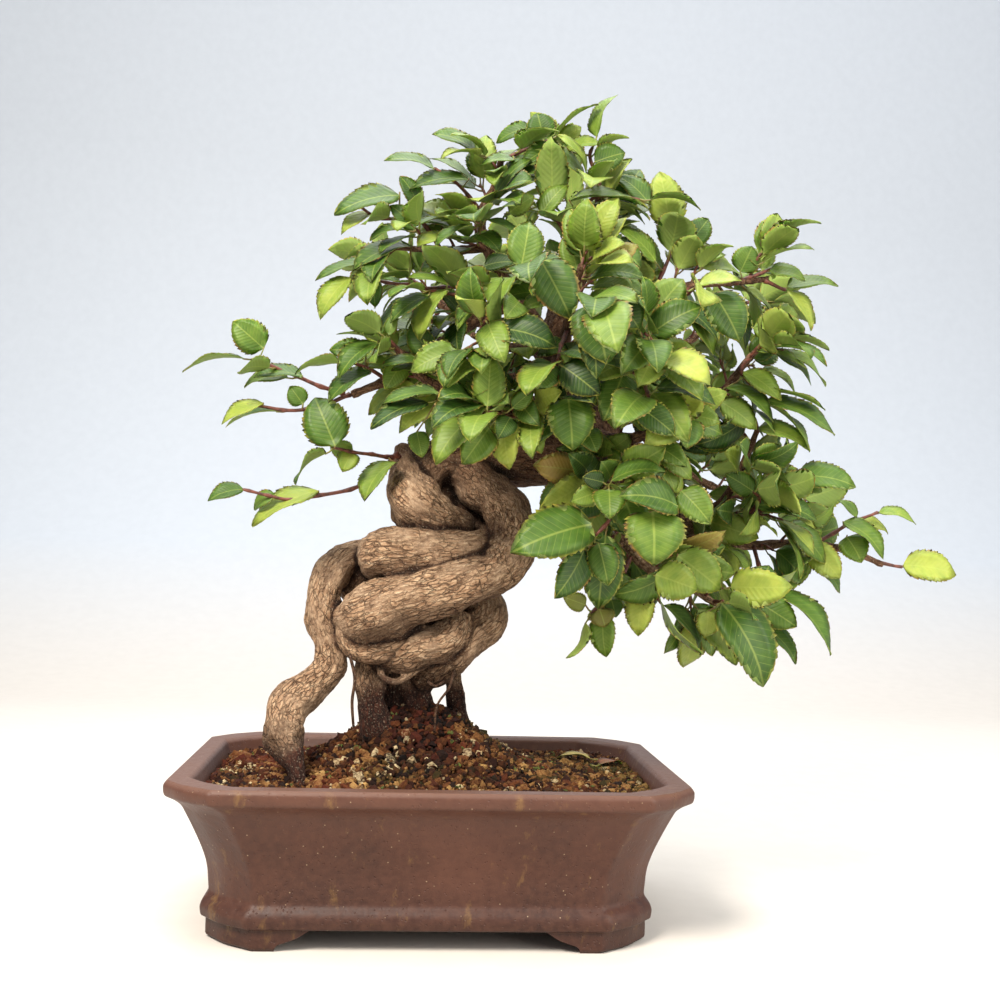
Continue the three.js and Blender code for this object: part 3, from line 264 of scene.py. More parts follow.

# Old hornbeam bark: corky ridges that flake along the stem, tan where dry and dark in its cracks, with
# painted shade in its furrows, in the creases between members and on undersides, which gives the eye
# long broken streaks with no shine.
barkFinish = {
    "streakSize": 0.0014, "streakLong": 0.3, "flakeSize": 0.0022, "flakeLong": 0.4, "blotchSize": 0.014,
    "mottleSize": 0.0032, "dustSize": 0.0009, "relief": 0.0008, "warpShare": 0.003, "warpScale": 300.0,
    "crackBand": (0.1, 0.0), "crackPatch": (0.38, 0.56, 0.15, 1.0), "greyBand": (0.55, 0.35, 0.0, 0.45),
    "mottleBand": (0.53, 0.66, 0.0, 0.6), "dustBand": (0.58, 0.72, 0.0, 0.2), "crackShade": 0.65,
    "furrowShare": 0.85, "mottleRelief": 0.9, "crackRelief": -1.3,
    "dry": [(0.25, "#523a26"), (0.42, "#82634a"), (0.58, "#a88a6c"), (0.76, "#d4bd9f")],
    "ruddy": [(0.28, "#28140c"), (0.5, "#4f2f1e"), (0.75, "#84573c")],
    "wet": [(0.3, "#150a06"), (0.55, "#33190f"), (0.8, "#5f3422")],
    "grey": "#8d7a66", "mottle": "#4b3222", "furrow": "#1d0f08", "dust": "#e0ceb2",
}


# Streaks and flakes stretched along the stem, with mottles and dust over them; warm, damp and furrow
# come from the piece. Furrow is painted shade in creases and dips, damp is damp near the soil with painted
# shade on undersides, warm is ruddy bark high up with painted shade in creases, and the hollow beside the
# upper coil takes painted shadow in damp and furrow.
def barkRecipe(add, f):
    grain = add("Attribute", attribute_name="barkSpace", output="Vector")
    damp, warm, furrow = partsOf(add, "barkTone")
    place = add("TexCoord", output="Object")
    streak = add("TexNoise", add("Mapping", grain, Scale=(1, 1, f["streakLong"])),
                 Scale=1 / f["streakSize"], Detail=5.0, Roughness=0.65)
    warp = add("TexNoise", grain, Scale=f["warpScale"], output="Color")
    warped = add("MixRGB", f["warpShare"], grain, warp)
    flake = add("TexVoronoi", add("Mapping", warped, Scale=(1, 1, f["flakeLong"])),
                Scale=1 / f["flakeSize"], feature="DISTANCE_TO_EDGE")
    blotch = add("TexNoise", grain, Scale=1 / f["blotchSize"], Detail=3.0)
    mottle = add("TexNoise", place, Scale=1 / f["mottleSize"], Detail=4.0, Roughness=0.6)
    dust = add("TexNoise", place, Scale=1 / f["dustSize"], Detail=2.0)
    cracked = add("MapRange", blotch, *f["crackPatch"])
    crack = add("Math MULTIPLY", add("MapRange", flake, *f["crackBand"]), cracked)
    tone = layTones(add, f, add("ValToRGB", streak, stops=f["dry"]), grey=blotch, mottle=mottle)
    # Warm and damp tones, which also carry painted shade in creases, on undersides and in the shadowed
    # hollow.
    tone = add("MixRGB", warm, tone, add("ValToRGB", streak, stops=f["ruddy"]))
    tone = add("MixRGB", damp, tone, add("ValToRGB", streak, stops=f["wet"]))
    # Painted shade in creases and dips, with the real dark of the cracks.
    deep = add("Math MAXIMUM", furrow, add("Math MULTIPLY", crack, f["crackShade"]))
    tone = add("MixRGB", add("Math MULTIPLY", deep, f["furrowShare"]), tone, f["furrow"])
    raised = add("Math MULTIPLY_ADD", mottle, f["mottleRelief"], streak)
    relief = add("Math MULTIPLY_ADD", crack, f["crackRelief"], raised)
    return {"Base Color": layTones(add, f, tone, dust=dust),
            "Normal": add("Bump", Height=relief, Distance=f["relief"])}


bark = makeMaterial("flaky_hornbeam_bark", barkRecipe, barkFinish, Roughness=0.88, IOR=1.45,
                    Specular_IOR_Level=0.3)

# Akadama: crumbs of baked volcanic clay, matt and porous, ochre when dry and dark brown when damp.
grainFinish = {
    "patchSize": 0.0015, "poreSize": 0.0007, "relief": 0.0007, "patchShare": 0.8, "darker": 0.4,
    "redBand": (0.5, 0.9, 0.0, 0.55), "oliveBand": (0.3, 0.05, 0.0, 0.55), "crustBand": (0.9, 1.2),
    "crustShare": 0.9, "crust": "#b9a57f", "red": "#5a2413", "olive": "#45401c",
    "clays": [(0.0, "#0d0604"), (0.25, "#201009"), (0.5, "#42240f"), (0.75, "#6e4a28"), (1.0, "#a5834f")],
}


# Tone from patches and the grain's own light, then red, olive and crust by the grain's tint.
def grainRecipe(add, f):
    light, red, crust = partsOf(add, "grainTint")
    place = add("TexCoord", output="Object")
    patch = add("TexNoise", place, Scale=1 / f["patchSize"], Detail=4.0, Roughness=0.65)
    duller = add("Math SUBTRACT", light, f["darker"])
    tone = add("Math MULTIPLY_ADD", patch, f["patchShare"], duller)
    pale = add("Math MULTIPLY_ADD", patch, f["crustShare"], crust)
    pores = add("TexNoise", place, Scale=1 / f["poreSize"], Detail=4.0, Roughness=0.7)
    clay = add("ValToRGB", tone, stops=f["clays"])
    return {"Base Color": layTones(add, f, clay, red=red, olive=red, crust=pale),
            "Normal": add("Bump", Height=pores, Distance=f["relief"])}


clayGrain = makeMaterial("akadama_clay_grain", grainRecipe, grainFinish, Roughness=0.93, IOR=1.4,
                         Specular_IOR_Level=0.3)

# Unglazed fired stoneware: a smooth satin skin, purple-brown, darker and redder low down and paler and
# greyer high up, with fine pits, pale specks and ochre smudges where water has dried, and a pale band at
# the top of the rim, from wear and a painted highlight.
stonewareFinish = {
    "cloudSize": 0.045, "grainSize": 0.0038, "smudgeSize": 0.011, "speckSpacing": 0.0048,
    "pitSpacing": 0.0024, "relief": 0.0004,
    "lowBand": (0.04, 0.01, 0.0, 0.7), "highBand": (0.053, 0.078, 0.0, 0.55),
    "fleckBand": (0.35, 0.7, 0.0, 0.3), "smudgeBand": (0.6, 0.74, 0.0, 0.4), "smudgeFlat": 0.45,
    # The rim band is wear with a painted highlight on the rim's top edge.
    "speckBand": (0.08, 0.04, 0.0, 0.6), "rimBand": (0.0775, 0.0795, 0.0, 0.5),
    "pits": (0.22, 0.08, 0.0, -0.5), "roughness": (0.0, 1.0, 0.38, 0.62), "grainRelief": 0.6,
    "body": [(0.3, "#371d14"), (0.5, "#412318"), (0.7, "#4b2b1f")], "low": "#29110a", "high": "#543529",
    "fleck": "#624030", "smudge": "#8a6a3a", "speck": "#b09a7c", "rim": "#6c4e40",
}


# Clouds of body colour, tinted by height, then flecks, smudges, specks and a pale rim band of wear and
# painted highlight; pits in relief.
def stonewareRecipe(add, f):
    place = add("TexCoord", output="Object")
    height = add("SeparateXYZ", place, output=2)
    cloud = add("TexNoise", place, Scale=1 / f["cloudSize"], Detail=4.0)
    fine = add("TexNoise", place, Scale=1 / f["grainSize"], Detail=4.0, Roughness=0.6)
    flat = add("Mapping", place, Scale=(1, 1, f["smudgeFlat"]))
    smudge = add("TexNoise", flat, Scale=1 / f["smudgeSize"], Detail=6.0, Roughness=0.7)
    speck = add("TexVoronoi", place, Scale=1 / f["speckSpacing"])
    tone = layTones(add, f, add("ValToRGB", cloud, stops=f["body"]), low=height, high=height, fleck=fine,
                    smudge=smudge, speck=speck, rim=height)
    pits = add("MapRange", add("TexVoronoi", place, Scale=1 / f["pitSpacing"]), *f["pits"])
    relief = add("Math MULTIPLY_ADD", fine, f["grainRelief"], pits)
    return {"Base Color": tone, "Roughness": add("MapRange", fine, *f["roughness"]),
            "Normal": add("Bump", Height=relief, Distance=f["relief"])}


stoneware = makeMaterial("unglazed_stoneware", stonewareRecipe, stonewareFinish, Roughness=0.5, IOR=1.5,
                         Specular_IOR_Level=0.35)
report("materials made")

# The tree's members, each from its root out, as (x, y, z, radius).
trunk = {
    "archingRoot": [(-66, -50, 74, 4), (-69, -46, 84, 5), (-73, -38, 91, 8), (-76, -32, 97, 10.5),
        (-77, -26, 106, 10), (-73, -20, 115, 10), (-64, -14, 123, 9.5), (-56, -10, 132, 9),
        (-56, -8, 142, 8), (-60, -6, 154, 8.5), (-61, -4, 166, 9.5), (-59, 0, 178, 10), (-52, 6, 188, 9.5),
        (-43, 14, 192, 9), (-30, 22, 190, 8), (-14, 24, 186, 7)],
    "lowerCoil": [(0, 13, 247, 10), (13, 9, 241, 12), (25, 3, 231, 13), (34, -6, 222, 12.5),
        (40, -14, 212, 13), (40, -20, 199, 13), (34, -26, 188, 12.5), (22, -30, 181, 12.5),
        (2, -32, 174, 13), (-18, -31, 168, 14.5), (-33, -24, 162, 15.5), (-41, -8, 157, 13),
        (-36, 12, 153, 11), (-20, 22, 150, 10)],
    "middleCoil": [(35, -6, 204, 6.5), (26, -14, 200, 8.5), (11, -20, 196, 10.5), (-5, -22, 194.5, 12),
        (-19, -21, 194, 13.5), (-29, -13, 193, 14), (-31, 0, 190, 12), (-20, 14, 184, 11)],
    "upperCoil": [(17, -2, 210, 6), (8, -10, 212, 8.5), (-1, -14, 214, 12), (-10, -13, 219, 15),
        (-15, -6, 227, 13.5), (-18, 2, 237, 10), (-20, 7, 246, 6), (-21, 9, 254, 4.5)],
    "rightLobe": [(8, 8, 172, 11), (24, 4, 166, 12), (27, -4, 157, 12), (18, -11, 147, 10.5),
        (10, -13, 138, 9), (2, -9, 131, 8), (-6, 0, 126, 7)],
    "frontLobe": [(12, -12, 160, 8), (10, -19, 153, 9), (3, -23, 147, 10), (-9, -24, 143, 9.5),
        (-20, -20, 139, 8.5), (-29, -10, 137, 7), (-33, 4, 136, 6)],
    "underLobe": [(-48, -19, 158, 4), (-47, -19, 149, 5), (-41, -20, 143, 6.5), (-31, -22, 143, 8),
        (-19, -22, 147, 8.5), (-9, -18, 155, 8)],
    "thinLoop": [(-29, -18, 133, 2), (-28, -23, 130, 2), (-24, -25, 127, 2), (-18, -25, 127, 2),
        (-11, -23, 131, 2), (-3, -18, 136, 2)],
    "leftStem": [(-28, 0, 148, 11), (-32, -5, 132, 10), (-33, -9, 119, 8.5), (-31, -13, 107, 9),
        (-27, -16, 94, 10), (-24, -19, 78, 6)],
    "middleStem": [(-8, 6, 158, 13), (-9, 5, 135, 11), (-10, 3, 121, 9), (-8, 1, 109, 9),
        (-4, -1, 94, 10.5), (-1, -2, 76, 6)],
    "rightStem": [(4, 18, 150, 6), (9, 18, 133, 5.5), (12, 17, 122, 5), (14, 16, 110, 5.5),
        (16, 13, 97, 5.5), (18, 10, 80, 4)],
    "innerStem": [(-20, 12, 150, 12), (-20, 9, 130, 10), (-19, 7, 112, 9), (-16, 9, 94, 9),
        (-12, 12, 78, 6)],
    "hollowBack": [(6, 21, 234, 11), (17, 20, 223, 11.5), (27, 16, 211, 11.5), (28, 8, 198, 10)],
    "leftFold": [(-30, 14, 192, 11), (-41, 13, 184, 10), (-45, 12, 175, 8.5), (-42, 10, 167, 6)],
    "heart": [(-12, 6, 142, 17), (-9, 5, 160, 21), (-6, 6, 178, 21), (-3, 10, 196, 18), (-2, 16, 213, 14),
        (-1, 17, 229, 13), (2, 15, 243, 13)],
    "upperBend": [(-8, 8, 224, 9.5), (-8, 8, 236, 11.5), (0, 10, 244, 14), (15, 13, 248, 15.5),
        (35, 15, 250, 16.5), (57, 14, 251, 17), (75, 13, 251, 16), (87, 14, 258, 14.5), (87, 17, 272, 12.5),
        (79, 19, 286, 11), (68, 17, 300, 9.5), (58, 12, 313, 7.5)],
}
limbs = {
    "apex": [(58, 12, 311, 8), (47, 6, 328, 6), (37, 3, 339, 5), (27, 0, 357, 4), (19, -2, 373, 3.5),
        (21, -4, 388, 2.5), (27, -6, 400, 2), (29, -6, 413, 1.5)],
    "leftUpper": [(39, 3, 336, 4.5), (19, -2, 325, 4), (4, -8, 313, 3.5), (-12, -14, 299, 3),
        (-29, -17, 287, 2.5), (-48, -18, 278, 2)],
    "leftHigh": [(23, 0, 365, 3), (2, -6, 361, 2), (-18, -10, 360, 1.5), (-39, -14, 360, 1.5)],
    "leftLow": [(70, 14, 297, 5), (37, -10, 290, 4), (12, -22, 282, 3), (-9, -28, 286, 2.5),
        (-27, -30, 304, 1.5)],
    "frontLeftLow": [(78, 12, 284, 4.5), (52, -30, 272, 3), (32, -50, 267, 2), (15, -62, 265, 1.5)],
    "rightMain": [(85, 14, 261, 11.5), (102, 10, 245, 8), (121, 2, 228, 6), (138, -6, 213, 5),
        (153, -10, 209, 4), (167, -14, 216, 3), (177, -16, 224, 2), (188, -18, 236, 1.5)],
    "rightFar": [(140, -8, 211, 3.5), (174, -4, 204, 3), (203, 0, 206, 2), (231, 4, 203, 2),
        (253, 6, 195, 1.5)],
    "rightRise": [(142, -7, 211, 3), (154, -14, 226, 2.5), (162, -16, 239, 2), (167, -18, 252, 2),
        (172, -20, 266, 1.5)],
    "rightLow": [(93, 8, 252, 7.5), (95, -10, 229, 5.5), (98, -22, 212, 4.5), (104, -30, 198, 3.5),
        (115, -36, 188, 3), (133, -38, 180, 2), (146, -42, 172, 1.5)],
    "rightUpper": [(81, 18, 283, 7), (110, 10, 280, 4.5), (136, 0, 283, 3.5), (155, -6, 288, 2.5),
        (168, -8, 305, 2), (177, -8, 315, 1.5)],
    "shoulder": [(65, 14, 302, 7), (87, 0, 321, 4.5), (111, -10, 336, 3.5), (134, -16, 345, 2.5),
        (161, -18, 348, 2), (177, -18, 350, 1.5)],
    "topRight": [(58, 12, 311, 5.5), (71, -4, 336, 4), (78, -12, 362, 3), (82, -16, 387, 2),
        (82, -18, 406, 1.5)],
    "topBack": [(58, 12, 312, 5), (69, 44, 352, 4), (78, 66, 388, 2.5), (82, 78, 416, 1.5)],
    "backRight": [(82, 20, 283, 5.5), (120, 54, 307, 4), (154, 78, 330, 2.5), (174, 88, 348, 1.5)],
    "backLow": [(88, 18, 262, 5.5), (127, 50, 257, 4), (164, 68, 242, 2.5), (193, 76, 233, 1.5)],
    "backLeft": [(46, 7, 326, 4.5), (22, 40, 330, 3), (1, 62, 343, 2.5), (-15, 74, 358, 1.5)],
    "backMiddle": [(72, 20, 294, 4.5), (60, 52, 287, 3.5), (41, 78, 287, 2.5), (20, 88, 293, 1.5)],
    "backDrop": [(90, 18, 257, 4.5), (110, 40, 229, 3.5), (137, 52, 206, 2.5), (160, 58, 195, 1.5)],
    "frontUp": [(65, 12, 303, 4.5), (65, -34, 315, 3), (65, -60, 328, 2), (66, -76, 340, 1.5)],
    "frontRight": [(81, 14, 283, 4.5), (90, -34, 286, 3), (99, -62, 293, 2), (107, -80, 301, 1.5)],
    "frontMiddle": [(86, 12, 263, 5), (97, -28, 258, 3.5), (109, -55, 260, 2), (122, -74, 263, 1.5)],
    "frontLeft": [(56, 10, 314, 4.5), (40, -34, 304, 3), (25, -60, 301, 2), (13, -76, 303, 1.5)],
    "frontBelow": [(87, 12, 256, 5), (86, -28, 239, 3.5), (83, -52, 228, 2)],
}

# The leafy shoots of the model by their side of the crown: (length of the leaves that stand on it by
# rule, how many, where the shoot passes, and its own leaves as (x, y, z of the blade's start, x, y, z
# of its tip, width seen)).
leftShoots = [
    (24, 3, [(-52, -18, 278), (-75, -24, 285), (-98, -30, 294)], [(-94, -32, 299, -110, -36, 312, 18),
     (-74, -26, 286, -99, -30, 285, 9)]),
    (22, 2, [(-49, -18, 278), (-72, -26, 268), (-101, -34, 269)], [(-93, -34, 270, -114, -38, 259, 9),
     (-73, -28, 271, -80, -30, 280, 11)]),
    (24, 0, [(-23, -2, 249), (-40, -12, 231), (-76, -24, 221), (-102, -30, 225)],
     [(-102, -30, 225, -120, -34, 219, 9), (-64, -20, 226, -98, -30, 208, 12),
     (-86, -26, 223, -98, -20, 215, 8)]),
    (22, 2, [(-22, 0, 247), (-35, -16, 246), (-56, -34, 248)], [(-55, -35, 249, -67, -30, 275, 24),
     (-24, -12, 243, -40, -30, 222, 12), (-47, -24, 247, -51, -30, 236, 12)]),
    (23.5, 1, [(-29, -17, 286), (-39, -26, 291.5), (-49, -34, 293)], [(-35, -32, 304, -55, -40, 284, 13),
     (-38, -33, 289, -60, -38, 272, 11), (-41, -26, 300, -60, -30, 300, 13)]),
    (20, 3, [(-12, -14, 299), (-21, -28, 298), (-29, -36, 306)], [(-21, -34, 295, -30, -38, 279, 13),
     (-29, -36, 308, -26, -36, 319, 7)]),
    (26, 3, [(-3, -7, 361), (-15, -10, 376), (-36, -14, 375), (-50, -16, 382)],
     [(-26, -14, 388, -61, -20, 376, 17), (-41, -14, 377, -57, -18, 365, 9),
     (-16, -12, 384, -26, -14, 399, 11)]),
    (26, 1, [(31, 2, 346), (-3, -10, 339), (-24, -16, 339), (-49, -18, 342)],
     [(-19, -16, 360, -48, -24, 340, 14), (-51, -18, 341, -67, -20, 318, 14),
     (-39, -20, 340, -37, -22, 325, 10)]),
    (24, 3, [(34, 3, 341), (14, -18, 334), (-8, -32, 333)], [(-9, -34, 330, -27, -38, 312, 11),
     (0, -32, 334, -17, -42, 309, 12), (-21, -30, 329, -41, -32, 316, 7), (1, -30, 337, -20, -34, 340, 7)]),
]
topShoots = [
    (24, 2, [(20, -2, 383), (9, -6, 395), (-7, -10, 405)], [(-8, -10, 405, -35, -14, 408, 10),
     (11, -12, 399, -20, -14, 388, 13)]),
    (24, 4, [(27, -6, 400), (31, -6, 413), (54, -8, 424)], [(52, -9, 424, 48, -10, 439, 17),
     (45, -10, 430, 28, -14, 429, 10), (61, -14, 419, 39, -20, 406, 13), (62, -6, 425, 73, -8, 433, 10),
     (37, -12, 411, 17, -16, 407, 8)]),
    (22, 3, [(82, -17, 401), (77, -18, 412), (78, -20, 418)], [(64, -18, 416, 83, -22, 420, 9),
     (79, -22, 409, 95, -26, 414, 16)]),
    (26, 5, [(76, -12, 360), (61, -22, 374), (52, -28, 383)], [(50, -30, 377, 63, -32, 394, 12),
     (33, -26, 378, 46, -30, 387, 11)]),
    (24, 4, [(79, -14, 371), (69, -24, 380), (82, -28, 389), (103, -28, 388)],
     [(65, -32, 384, 107, -34, 384, 11), (109, -22, 388, 92, -18, 404, 14),
     (75, -30, 383, 84, -40, 365, 11)]),
]
rightShoots = [
    (22, 2, [(159, -18, 347), (168, -20, 351), (178, -22, 355)], [(161, -20, 353, 167, -22, 367, 16),
     (173, -22, 354, 172, -20, 370, 15), (176, -24, 353, 196, -26, 349, 10)]),
    (26, 3, [(113, -10, 338), (122, -12, 358), (124, -14, 374)], [(122, -16, 376, 116, -16, 408, 21),
     (133, -14, 368, 145, -12, 384, 14), (113, -26, 355, 92, -32, 372, 13)]),
    (20, 2, [(175, -18, 349), (186, -20, 344)], [(187, -20, 344, 201, -24, 322, 12)]),
    (24, 2, [(134, -16, 344), (124, -40, 333), (127, -62, 334)], [(128, -64, 335, 149, -70, 338, 9),
     (121, -62, 332, 104, -66, 318, 14), (137, -60, 332, 150, -66, 307, 22)]),
    (24, 3, [(174, -8, 312), (179, -12, 319)], [(170, -16, 323, 188, -20, 320, 12),
     (173, -14, 311, 200, -18, 303, 8)]),
    (24, 4, [(171, -8, 308), (164, -14, 299), (175, -18, 285)], [(164, -20, 298, 184, -26, 283, 14),
     (154, -22, 289, 180, -28, 271, 12), (178, -18, 283, 216, -22, 267, 14)]),
    (24, 3, [(172, -20, 265), (169, -22, 274), (155, -26, 281)], [(172, -22, 267, 200, -28, 257, 12),
     (150, -28, 280, 169, -32, 266, 15)]),
    (21.3, 1, [(188.5, -18, 237), (193, -20, 239), (200, -20, 238)], [(195, -20, 242, 226, -26, 238, 16),
     (200, -20, 237, 209, -20, 234, 6)]),
    (24, 2, [(167, -14, 216), (172, -26, 228), (167, -34, 232)], [(171, -26, 225, 203, -32, 219, 14),
     (167, -34, 232, 151, -36, 241, 13)]),
    (22, 0, [(210, 1, 204), (228, -2, 216), (245, -6, 224)], [(246, -6, 224, 267, -8, 219, 7),
     (225, -8, 218, 247, -14, 199, 13), (234, -4, 221, 224, -2, 231, 7), (238, -2, 218, 255, 2, 213, 7)]),
    (22, 0, [(250, 6, 196), (264, 6, 194)], [(265, 6, 195, 295, 2, 191, 18)]),
    (22, 2, [(229, 4, 203), (217, -2, 201), (205, -8, 200)], [(229, -2, 210, 236, -8, 196, 17),
     (206, -8, 204, 222, -14, 187, 17), (209, 2, 197, 230, 6, 179, 12)]),
    (26, 2, [(175, -4, 205), (176, -18, 190), (176, -30, 179)], [(179, -30, 178, 211, -38, 148, 14),
     (169, -36, 174, 189, -42, 161, 18), (171, -32, 162, 193, -34, 142, 12),
     (169, -38, 181, 174, -42, 193, 19)]),
    (22, 2, [(145, -41, 173), (147, -52, 174)], [(146, -54, 173, 168, -62, 132, 28),
     (138, -58, 169, 137, -60, 156, 13)]),
    (26, 2, [(133, -38, 180), (125, -54, 189), (116, -62, 193)], [(109, -66, 187, 130, -70, 180, 20),
     (122, -56, 197, 145, -58, 180, 22)]),
    (22, 2, [(115, -36, 188), (110, -46, 182), (114, -48, 174)], [(107, -50, 179, 103, -52, 155, 14),
     (117, -48, 171, 138, -50, 147, 9), (100, -48, 184, 85, -50, 177, 11)]),
    (20, 3, [(104, -30, 198), (97, -38, 187), (89, -42, 174), (80, -44, 166)],
     [(77, -44, 170, 65, -46, 174, 10), (84, -46, 168, 87, -48, 159, 13),
     (91, -40, 173, 93, -44, 164, 10)]),
]
frontShoots = [
    (24, 3, [(21, -2, 371), (17, -22, 370), (18, -38, 369)], [(20, -40, 370, 40, -48, 358, 8),
     (14, -38, 366, -7, -44, 354, 7), (17, -36, 363, 27, -50, 352, 12)]),
    (26, 4, [(37, 3, 339), (37, -36, 340), (41, -80, 340)], [(45, -86, 339, 60, -92, 310, 23),
     (36, -78, 337, 40, -74, 362, 19), (19, -50, 343, 35, -56, 345, 10)]),
    (26, 3, [(25, -60, 301), (27, -74, 306), (33, -84, 315)], [(24, -88, 304, 53, -96, 296, 18),
     (35, -82, 319, 26, -88, 306, 14)]),
    (26, 2, [(65, -34, 315), (59, -60, 302), (55, -80, 291)], [(57, -84, 288, 75, -90, 274, 18),
     (52, -80, 290, 45, -84, 276, 17)]),
    (28, 4, [(65, -60, 328), (67, -84, 321), (74, -100, 317)], [(68, -99, 316, 76, -105, 287, 27),
     (74, -107, 304, 81, -110, 292, 16), (81, -96, 319, 92, -100, 305, 18)]),
    (26, 3, [(99, -62, 293), (99, -78, 281), (99, -90, 273)], [(103, -90, 278, 132, -94, 271, 13),
     (94, -93, 268, 111, -97, 255, 15)]),
    (26, 1, [(15, -62, 265), (6, -68, 268), (-3, -72, 271)], [(-3, -73, 274, -31, -76, 268, 8),
     (14, -70, 262, -4, -82, 239, 17), (-13, -66, 255, -10, -70, 242, 11)]),
    (26, 2, [(52, -30, 272), (37, -58, 265), (21, -80, 265)], [(21, -82, 267, 22, -80, 293, 17),
     (34, -72, 268, 44, -74, 277, 9), (33, -72, 263, 27, -78, 252, 12), (23, -68, 258, 10, -74, 239, 18)]),
    (26, 3, [(80, -20, 277), (68, -50, 275), (59, -74, 273)], [(61, -78, 273, 63, -86, 247, 24),
     (72, -66, 259, 77, -72, 247, 12)]),
    (26, 2, [(83, -50, 230), (86, -64, 216), (75, -68, 203)], [(75, -74, 211, 34, -88, 197, 26),
     (79, -70, 202, 84, -74, 181, 16)]),
    (28, 2, [(121, 0, 226), (120, -40, 221), (113, -84, 223)], [(102, -90, 218, 102, -98, 192, 30),
     (115, -86, 221, 84, -94, 223, 18), (118, -80, 229, 132, -86, 213, 17)]),
    (22, 3, [(86, -30, 238), (85, -52, 232), (83, -74, 231)], [(84, -76, 233, 109, -84, 239, 9),
     (80, -76, 232, 69, -80, 234, 10), (79, -72, 228, 64, -76, 222, 12)]),
    (24, 5, [(38, 2, 338), (29, -30, 330), (23, -54, 330)], []),
]
backShoots = [
    (26, 5, [(82, 78, 413), (76, 84, 429), (69, 86, 443)], []),
    (26, 5, [(-13, 73, 357), (-27, 78, 367), (-38, 80, 372)], []),
    (26, 5, [(1, 62, 343), (-8, 80, 334), (-18, 90, 323)], []),
    (26, 5, [(22, 87, 293), (7, 94, 295), (-8, 98, 300)], []),
    (26, 6, [(171, 87, 346), (189, 94, 357), (207, 96, 362)], []),
    (28, 6, [(120, 54, 307), (122, 84, 331), (120, 100, 356)], []),
    (26, 5, [(191, 75, 233), (212, 82, 230), (233, 86, 234)], []),
    (26, 5, [(157, 57, 196), (174, 66, 182), (187, 70, 167)], []),
    (28, 6, [(70, 46, 354), (60, 80, 377), (49, 96, 397)], []),
]
shoots = {"left": leftShoots, "top": topShoots, "right": rightShoots, "front": frontShoots,
          "back": backShoots}

memberShape = {
    "stoutRadius": 5, "stoutSides": 8, "slimSides": 5, "stoutStep": 13.5, "fluteDepth": 0.05,
    "limbRadius": 6, "limbSides": 6, "branchSides": 4, "limbStep": 34, "blunt": 0.4, "flutes": 3,
    "fluteTurn": 0.35, "twigSides": 3, "twigStep": 25, "twigRadii": (1.3, 0.9),
}


# Places along a uniform Catmull-Rom curve of tension 0.5: cubic Hermite spans whose end slopes
# are half the step between a point's two neighbours.
def splinePoints(points, shares):
    p = np.asarray(points, float)
    p = np.vstack([2 * p[0] - p[1], p, 2 * p[-1] - p[-2]])
    place = np.clip(np.asarray(shares, float), 0, 1) * (len(p) - 3)
    i = np.minimum(place.astype(int), len(p) - 4)
    t = (place - i)[:, None]
    a, b, c, d = p[i], p[i + 1], p[i + 2], p[i + 3]
    u, v = 0.5 * (c - a), 0.5 * (d - b)
    return (2 * b - 2 * c + u + v) * t ** 3 + (-3 * b + 3 * c - 2 * u - v) * t ** 2 + u * t + b


# The length of that curve, summed over 200 short steps.
def splineLength(points):
    places = splinePoints(np.asarray(points)[:, :3], np.linspace(0, 1, 201))
    return lengthOf(np.diff(places, axis=0)).sum()


# Two normals at each place of a path, turning as little as they can.
def framesAlong(places):
    forward = unit(np.vstack([places[1:], places[-1:]]) - np.vstack([places[:1], places[:-1]]))
    first = np.zeros_like(places)
    normal = np.array([1.0, 0, 0]) if abs(forward[0, 2]) > 0.8 else np.array([0, 0, 1.0])
    for i, f in enumerate(forward):
        normal = unit(normal - f * normal.dot(f))
        first[i] = normal
    return first, np.cross(forward, first)


# Rings round places: each point is its place + reach (cos(angle) first normal + sin(angle) second).
def ringsRound(places, frames, sides, reach):
    first, second = frames
    angle = 2 * math.pi * np.arange(sides) / sides
    return (places[:, None] + first[:, None] * (np.cos(angle) * reach)[..., None]
            + second[:, None] * (np.sin(angle) * reach)[..., None])


# A tapering member's rings and its two blunt end points; the reach is r (1 + flute cos(3 angle + turn)).
def memberRings(points, sides, step, flute=0.0):
    points = np.asarray(points, float)
    shape = memberShape
    count = max(2, int(math.floor(splineLength(points) / step + 0.5)))
    along = splinePoints(points, np.arange(count + 1) / count)
    places, radius = along[:, :3], along[:, 3]
    angle = 2 * math.pi * np.arange(sides) / sides
    turn = np.arange(count + 1)[:, None] * shape["fluteTurn"]
    reach = radius[:, None] * (1 + flute * np.cos(shape["flutes"] * angle + turn))
    start = places[0] - unit(places[1] - places[0]) * (points[0, 3] * shape["blunt"])
    end = places[-1] + unit(places[-1] - places[-2]) * (points[-1, 3] * shape["blunt"])
    return ringsRound(places, framesAlong(places), sides, reach), start, end


# Points, quads and triangles of a skin over rings that is closed by a point at each end.
def closeRings(rings, start, end):
    count, sides = rings.shape[:2]
    points = np.vstack([start[None], rings.reshape(-1, 3), end[None]])
    k = np.arange(sides)
    after = (k + 1) % sides
    low = 1 + np.arange(count - 1)[:, None] * sides
    quads = np.stack([low + k, low + after, low + sides + after, low + sides + k], axis=-1).reshape(-1, 4)
    last = 1 + (count - 1) * sides
    fans = np.vstack([np.stack([0 * k, 1 + after, 1 + k], 1),
                      np.stack([0 * k + last + sides, last + k, last + after], 1)])
    return points, quads, fans


# A member as the model has it, with more sides where it is thick.
def modelTube(points, stout):
    shape = memberShape
    if stout:
        sides = shape["stoutSides"] if points[2][3] > shape["stoutRadius"] else shape["slimSides"]
        return closeRings(*memberRings(points, sides, shape["stoutStep"], shape["fluteDepth"]))
    sides = shape["limbSides"] if points[0][3] > shape["limbRadius"] else shape["branchSides"]
    return closeRings(*memberRings(points, sides, shape["limbStep"]))


